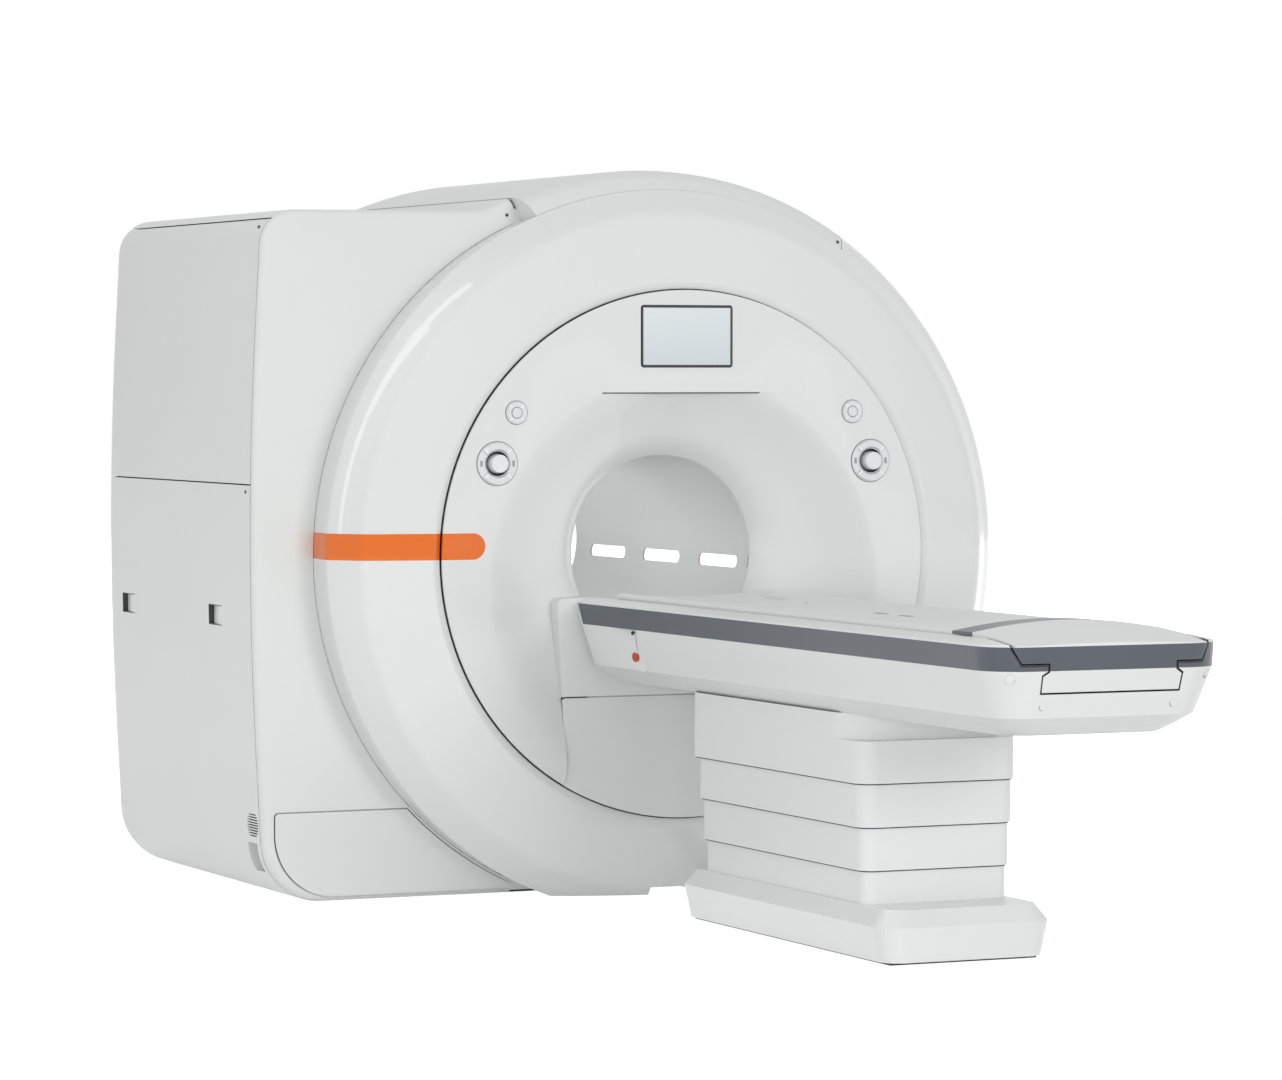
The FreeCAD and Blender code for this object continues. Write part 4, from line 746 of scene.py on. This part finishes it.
# Magnet
# Welded stainless vacuum vessel on a painted steel cradle, with the aluminium helium vessel and its
# windings inside and the cold head's turret on top.
METAL = (("Metallic", 1.0),)
vessel_steel = plain_finish(
    "brushed_stainless", ((0.56, 0.57, 0.58), (0.47, 0.48, 0.49)), 5.0,
    grain=(300.0, 0.12), gloss=(0.3, 0.45, 6.0), shine=METAL)
frame_paint = plain_finish(
    "dark_steel_paint", ((0.065, 0.068, 0.072), (0.045, 0.047, 0.050)), 6.0,
    grain=(350.0, 0.2), gloss=(0.5, 0.65, 8.0))
dress_parts(vessel_steel, "magnet_vessel", "helium_vessel", "cold_head")
dress_parts(
    frame_paint,
    "magnet_cradle", "cover_frame", "electronics_rack", "base_plate", "table_chassis")

# Coils
# Resin-bonded copper windings, wound on the helium vessel's former, and the gradient and body
# coils, which are cast in filled epoxy and slid into the magnet's bore.
winding = plain_finish(
    "bonded_winding", ((0.42, 0.20, 0.09), (0.33, 0.15, 0.06)), 12.0,
    grain=(250.0, 0.3), gloss=(0.35, 0.5, 10.0))
cast_resin = plain_finish(
    "cast_epoxy", ((0.36, 0.31, 0.22), (0.29, 0.25, 0.17)), 5.0,
    grain=(200.0, 0.25), gloss=(0.4, 0.55, 6.0))
dress_parts(winding, "superconducting_coils")
dress_parts(cast_resin, "gradient_coil", "body_coil")

# Lift and drive
# Ground steel lift columns, turned aluminium pulleys and motor, a black rubber belt, and the
# aluminium duct that carries the cables over the floor.
bare_metal = plain_finish(
    "satin_aluminium", ((0.60, 0.61, 0.62), (0.52, 0.53, 0.54)), 10.0,
    grain=(500.0, 0.15), gloss=(0.35, 0.5, 12.0), shine=METAL)
dress_parts(
    bare_metal,
    "lift_column_outer", "lift_column_middle", "lift_column_inner",
    "head_pulley", "drive_pulley", "drive_motor", "floor_duct")
dress_parts(rubber_and_shade_black, "drive_belt")

# Studio
# Pale floor and backdrop. A tall strip lamp on the left gives the ring its highlight, wide and low
# lamps stand in front, a small one fills in under the table, and one hangs in the bore.
bpy.ops.object.select_all(action="DESELECT")
bpy.ops.mesh.primitive_plane_add(size=60.0, location=(0.0, 0.0, 0.0))
floor = bpy.context.object
floor.name = "studio_floor"
floor_white, nodes, links, shader = new_finish("studio_floor_white")
shader.inputs["Base Color"].default_value = (0.80, 0.80, 0.80, 1.0)
shader.inputs["Roughness"].default_value = 0.6
glow = nodes.new("ShaderNodeEmission")
glow.inputs["Color"].default_value = (1.0, 1.0, 1.0, 1.0)


def seen_rays():
    """1 for the rays that show the backdrop, 0 for those that light the object."""
    rays = nodes.new("ShaderNodeLightPath")
    looks = reckon("ADD", rays.outputs["Is Camera Ray"], rays.outputs["Is Glossy Ray"])
    return reckon("MINIMUM", reckon("ADD", looks, rays.outputs["Is Transmission Ray"]), 1.0)


links.new(seen_rays(), glow.inputs["Strength"])
mixed = nodes.new("ShaderNodeAddShader")
links.new(shader.outputs["BSDF"], mixed.inputs[0])
links.new(glow.outputs["Emission"], mixed.inputs[1])
links.new(mixed.outputs["Shader"], nodes["Material Output"].inputs["Surface"])
dress(floor, floor_white)

AMBIENT = 0.60
world = bpy.data.worlds.new("studio")
world.use_nodes = True
scene.world = world
nodes, links = world.node_tree.nodes, world.node_tree.links
sky = nodes["Background"]
level = reckon("ADD", reckon("MULTIPLY", seen_rays(), 1.0 - AMBIENT), AMBIENT)
links.new(level, sky.inputs["Strength"])
sky.inputs["Color"].default_value = (1.0, 1.0, 1.0, 1.0)


def softbox(name, spot, aim, size, power, mirrored=True):
    """A flat studio lamp that faces a point; one that isn't mirrored leaves no reflection."""
    lamp = bpy.data.lights.new(name, "AREA")
    lamp.shape = "RECTANGLE"
    lamp.size, lamp.size_y = size
    lamp.energy = power
    holder = bpy.data.objects.new(name, lamp)
    scene.collection.objects.link(holder)
    holder.location = spot
    holder.rotation_euler = (Vector(aim) - Vector(spot)).to_track_quat("-Z", "Y").to_euler()
    holder.visible_glossy = mirrored
    return lamp


softbox("strip_left", (-4.5, -0.73, 4.1), (-0.9, -0.74, 1.55), (0.26, 6.6), 27.0)
softbox("front_softbox", (4.5, -25.5, 7.0), (0.0, -1.0, 1.0), (9.0, 6.0), 1450.0, mirrored=False)
softbox("low_softbox", (-9.0, -19.0, 0.7), (0.0, -1.0, 0.3), (6.0, 1.2), 560.0, mirrored=False)
fill = softbox("low_fill", (-4.2, -5.6, 1.5), (0.1, -1.7, 0.45), (1.0, 0.6), 6.5, mirrored=False)
fill.spread = math.radians(70.0)
softbox("bore_lamp", (0.0, 0.0, 1.32), (0.0, 0.0, 0.9), (0.2, 1.2), 1.0)

CAMERA_DOWN = 2.01  # degrees
CAMERA_TURN = -24.42
lens = bpy.data.cameras.new("studio_camera")
lens.sensor_width = 36.0
lens.lens = 135.83
lens.clip_end = 200.0
camera = bpy.data.objects.new("studio_camera", lens)
scene.collection.objects.link(camera)
camera.location = (-6.2087, -14.1856, 1.6050)
camera.rotation_euler = (math.radians(90.0 - CAMERA_DOWN), 0.0, math.radians(CAMERA_TURN))
scene.camera = camera
scene.view_settings.view_transform = "Standard"
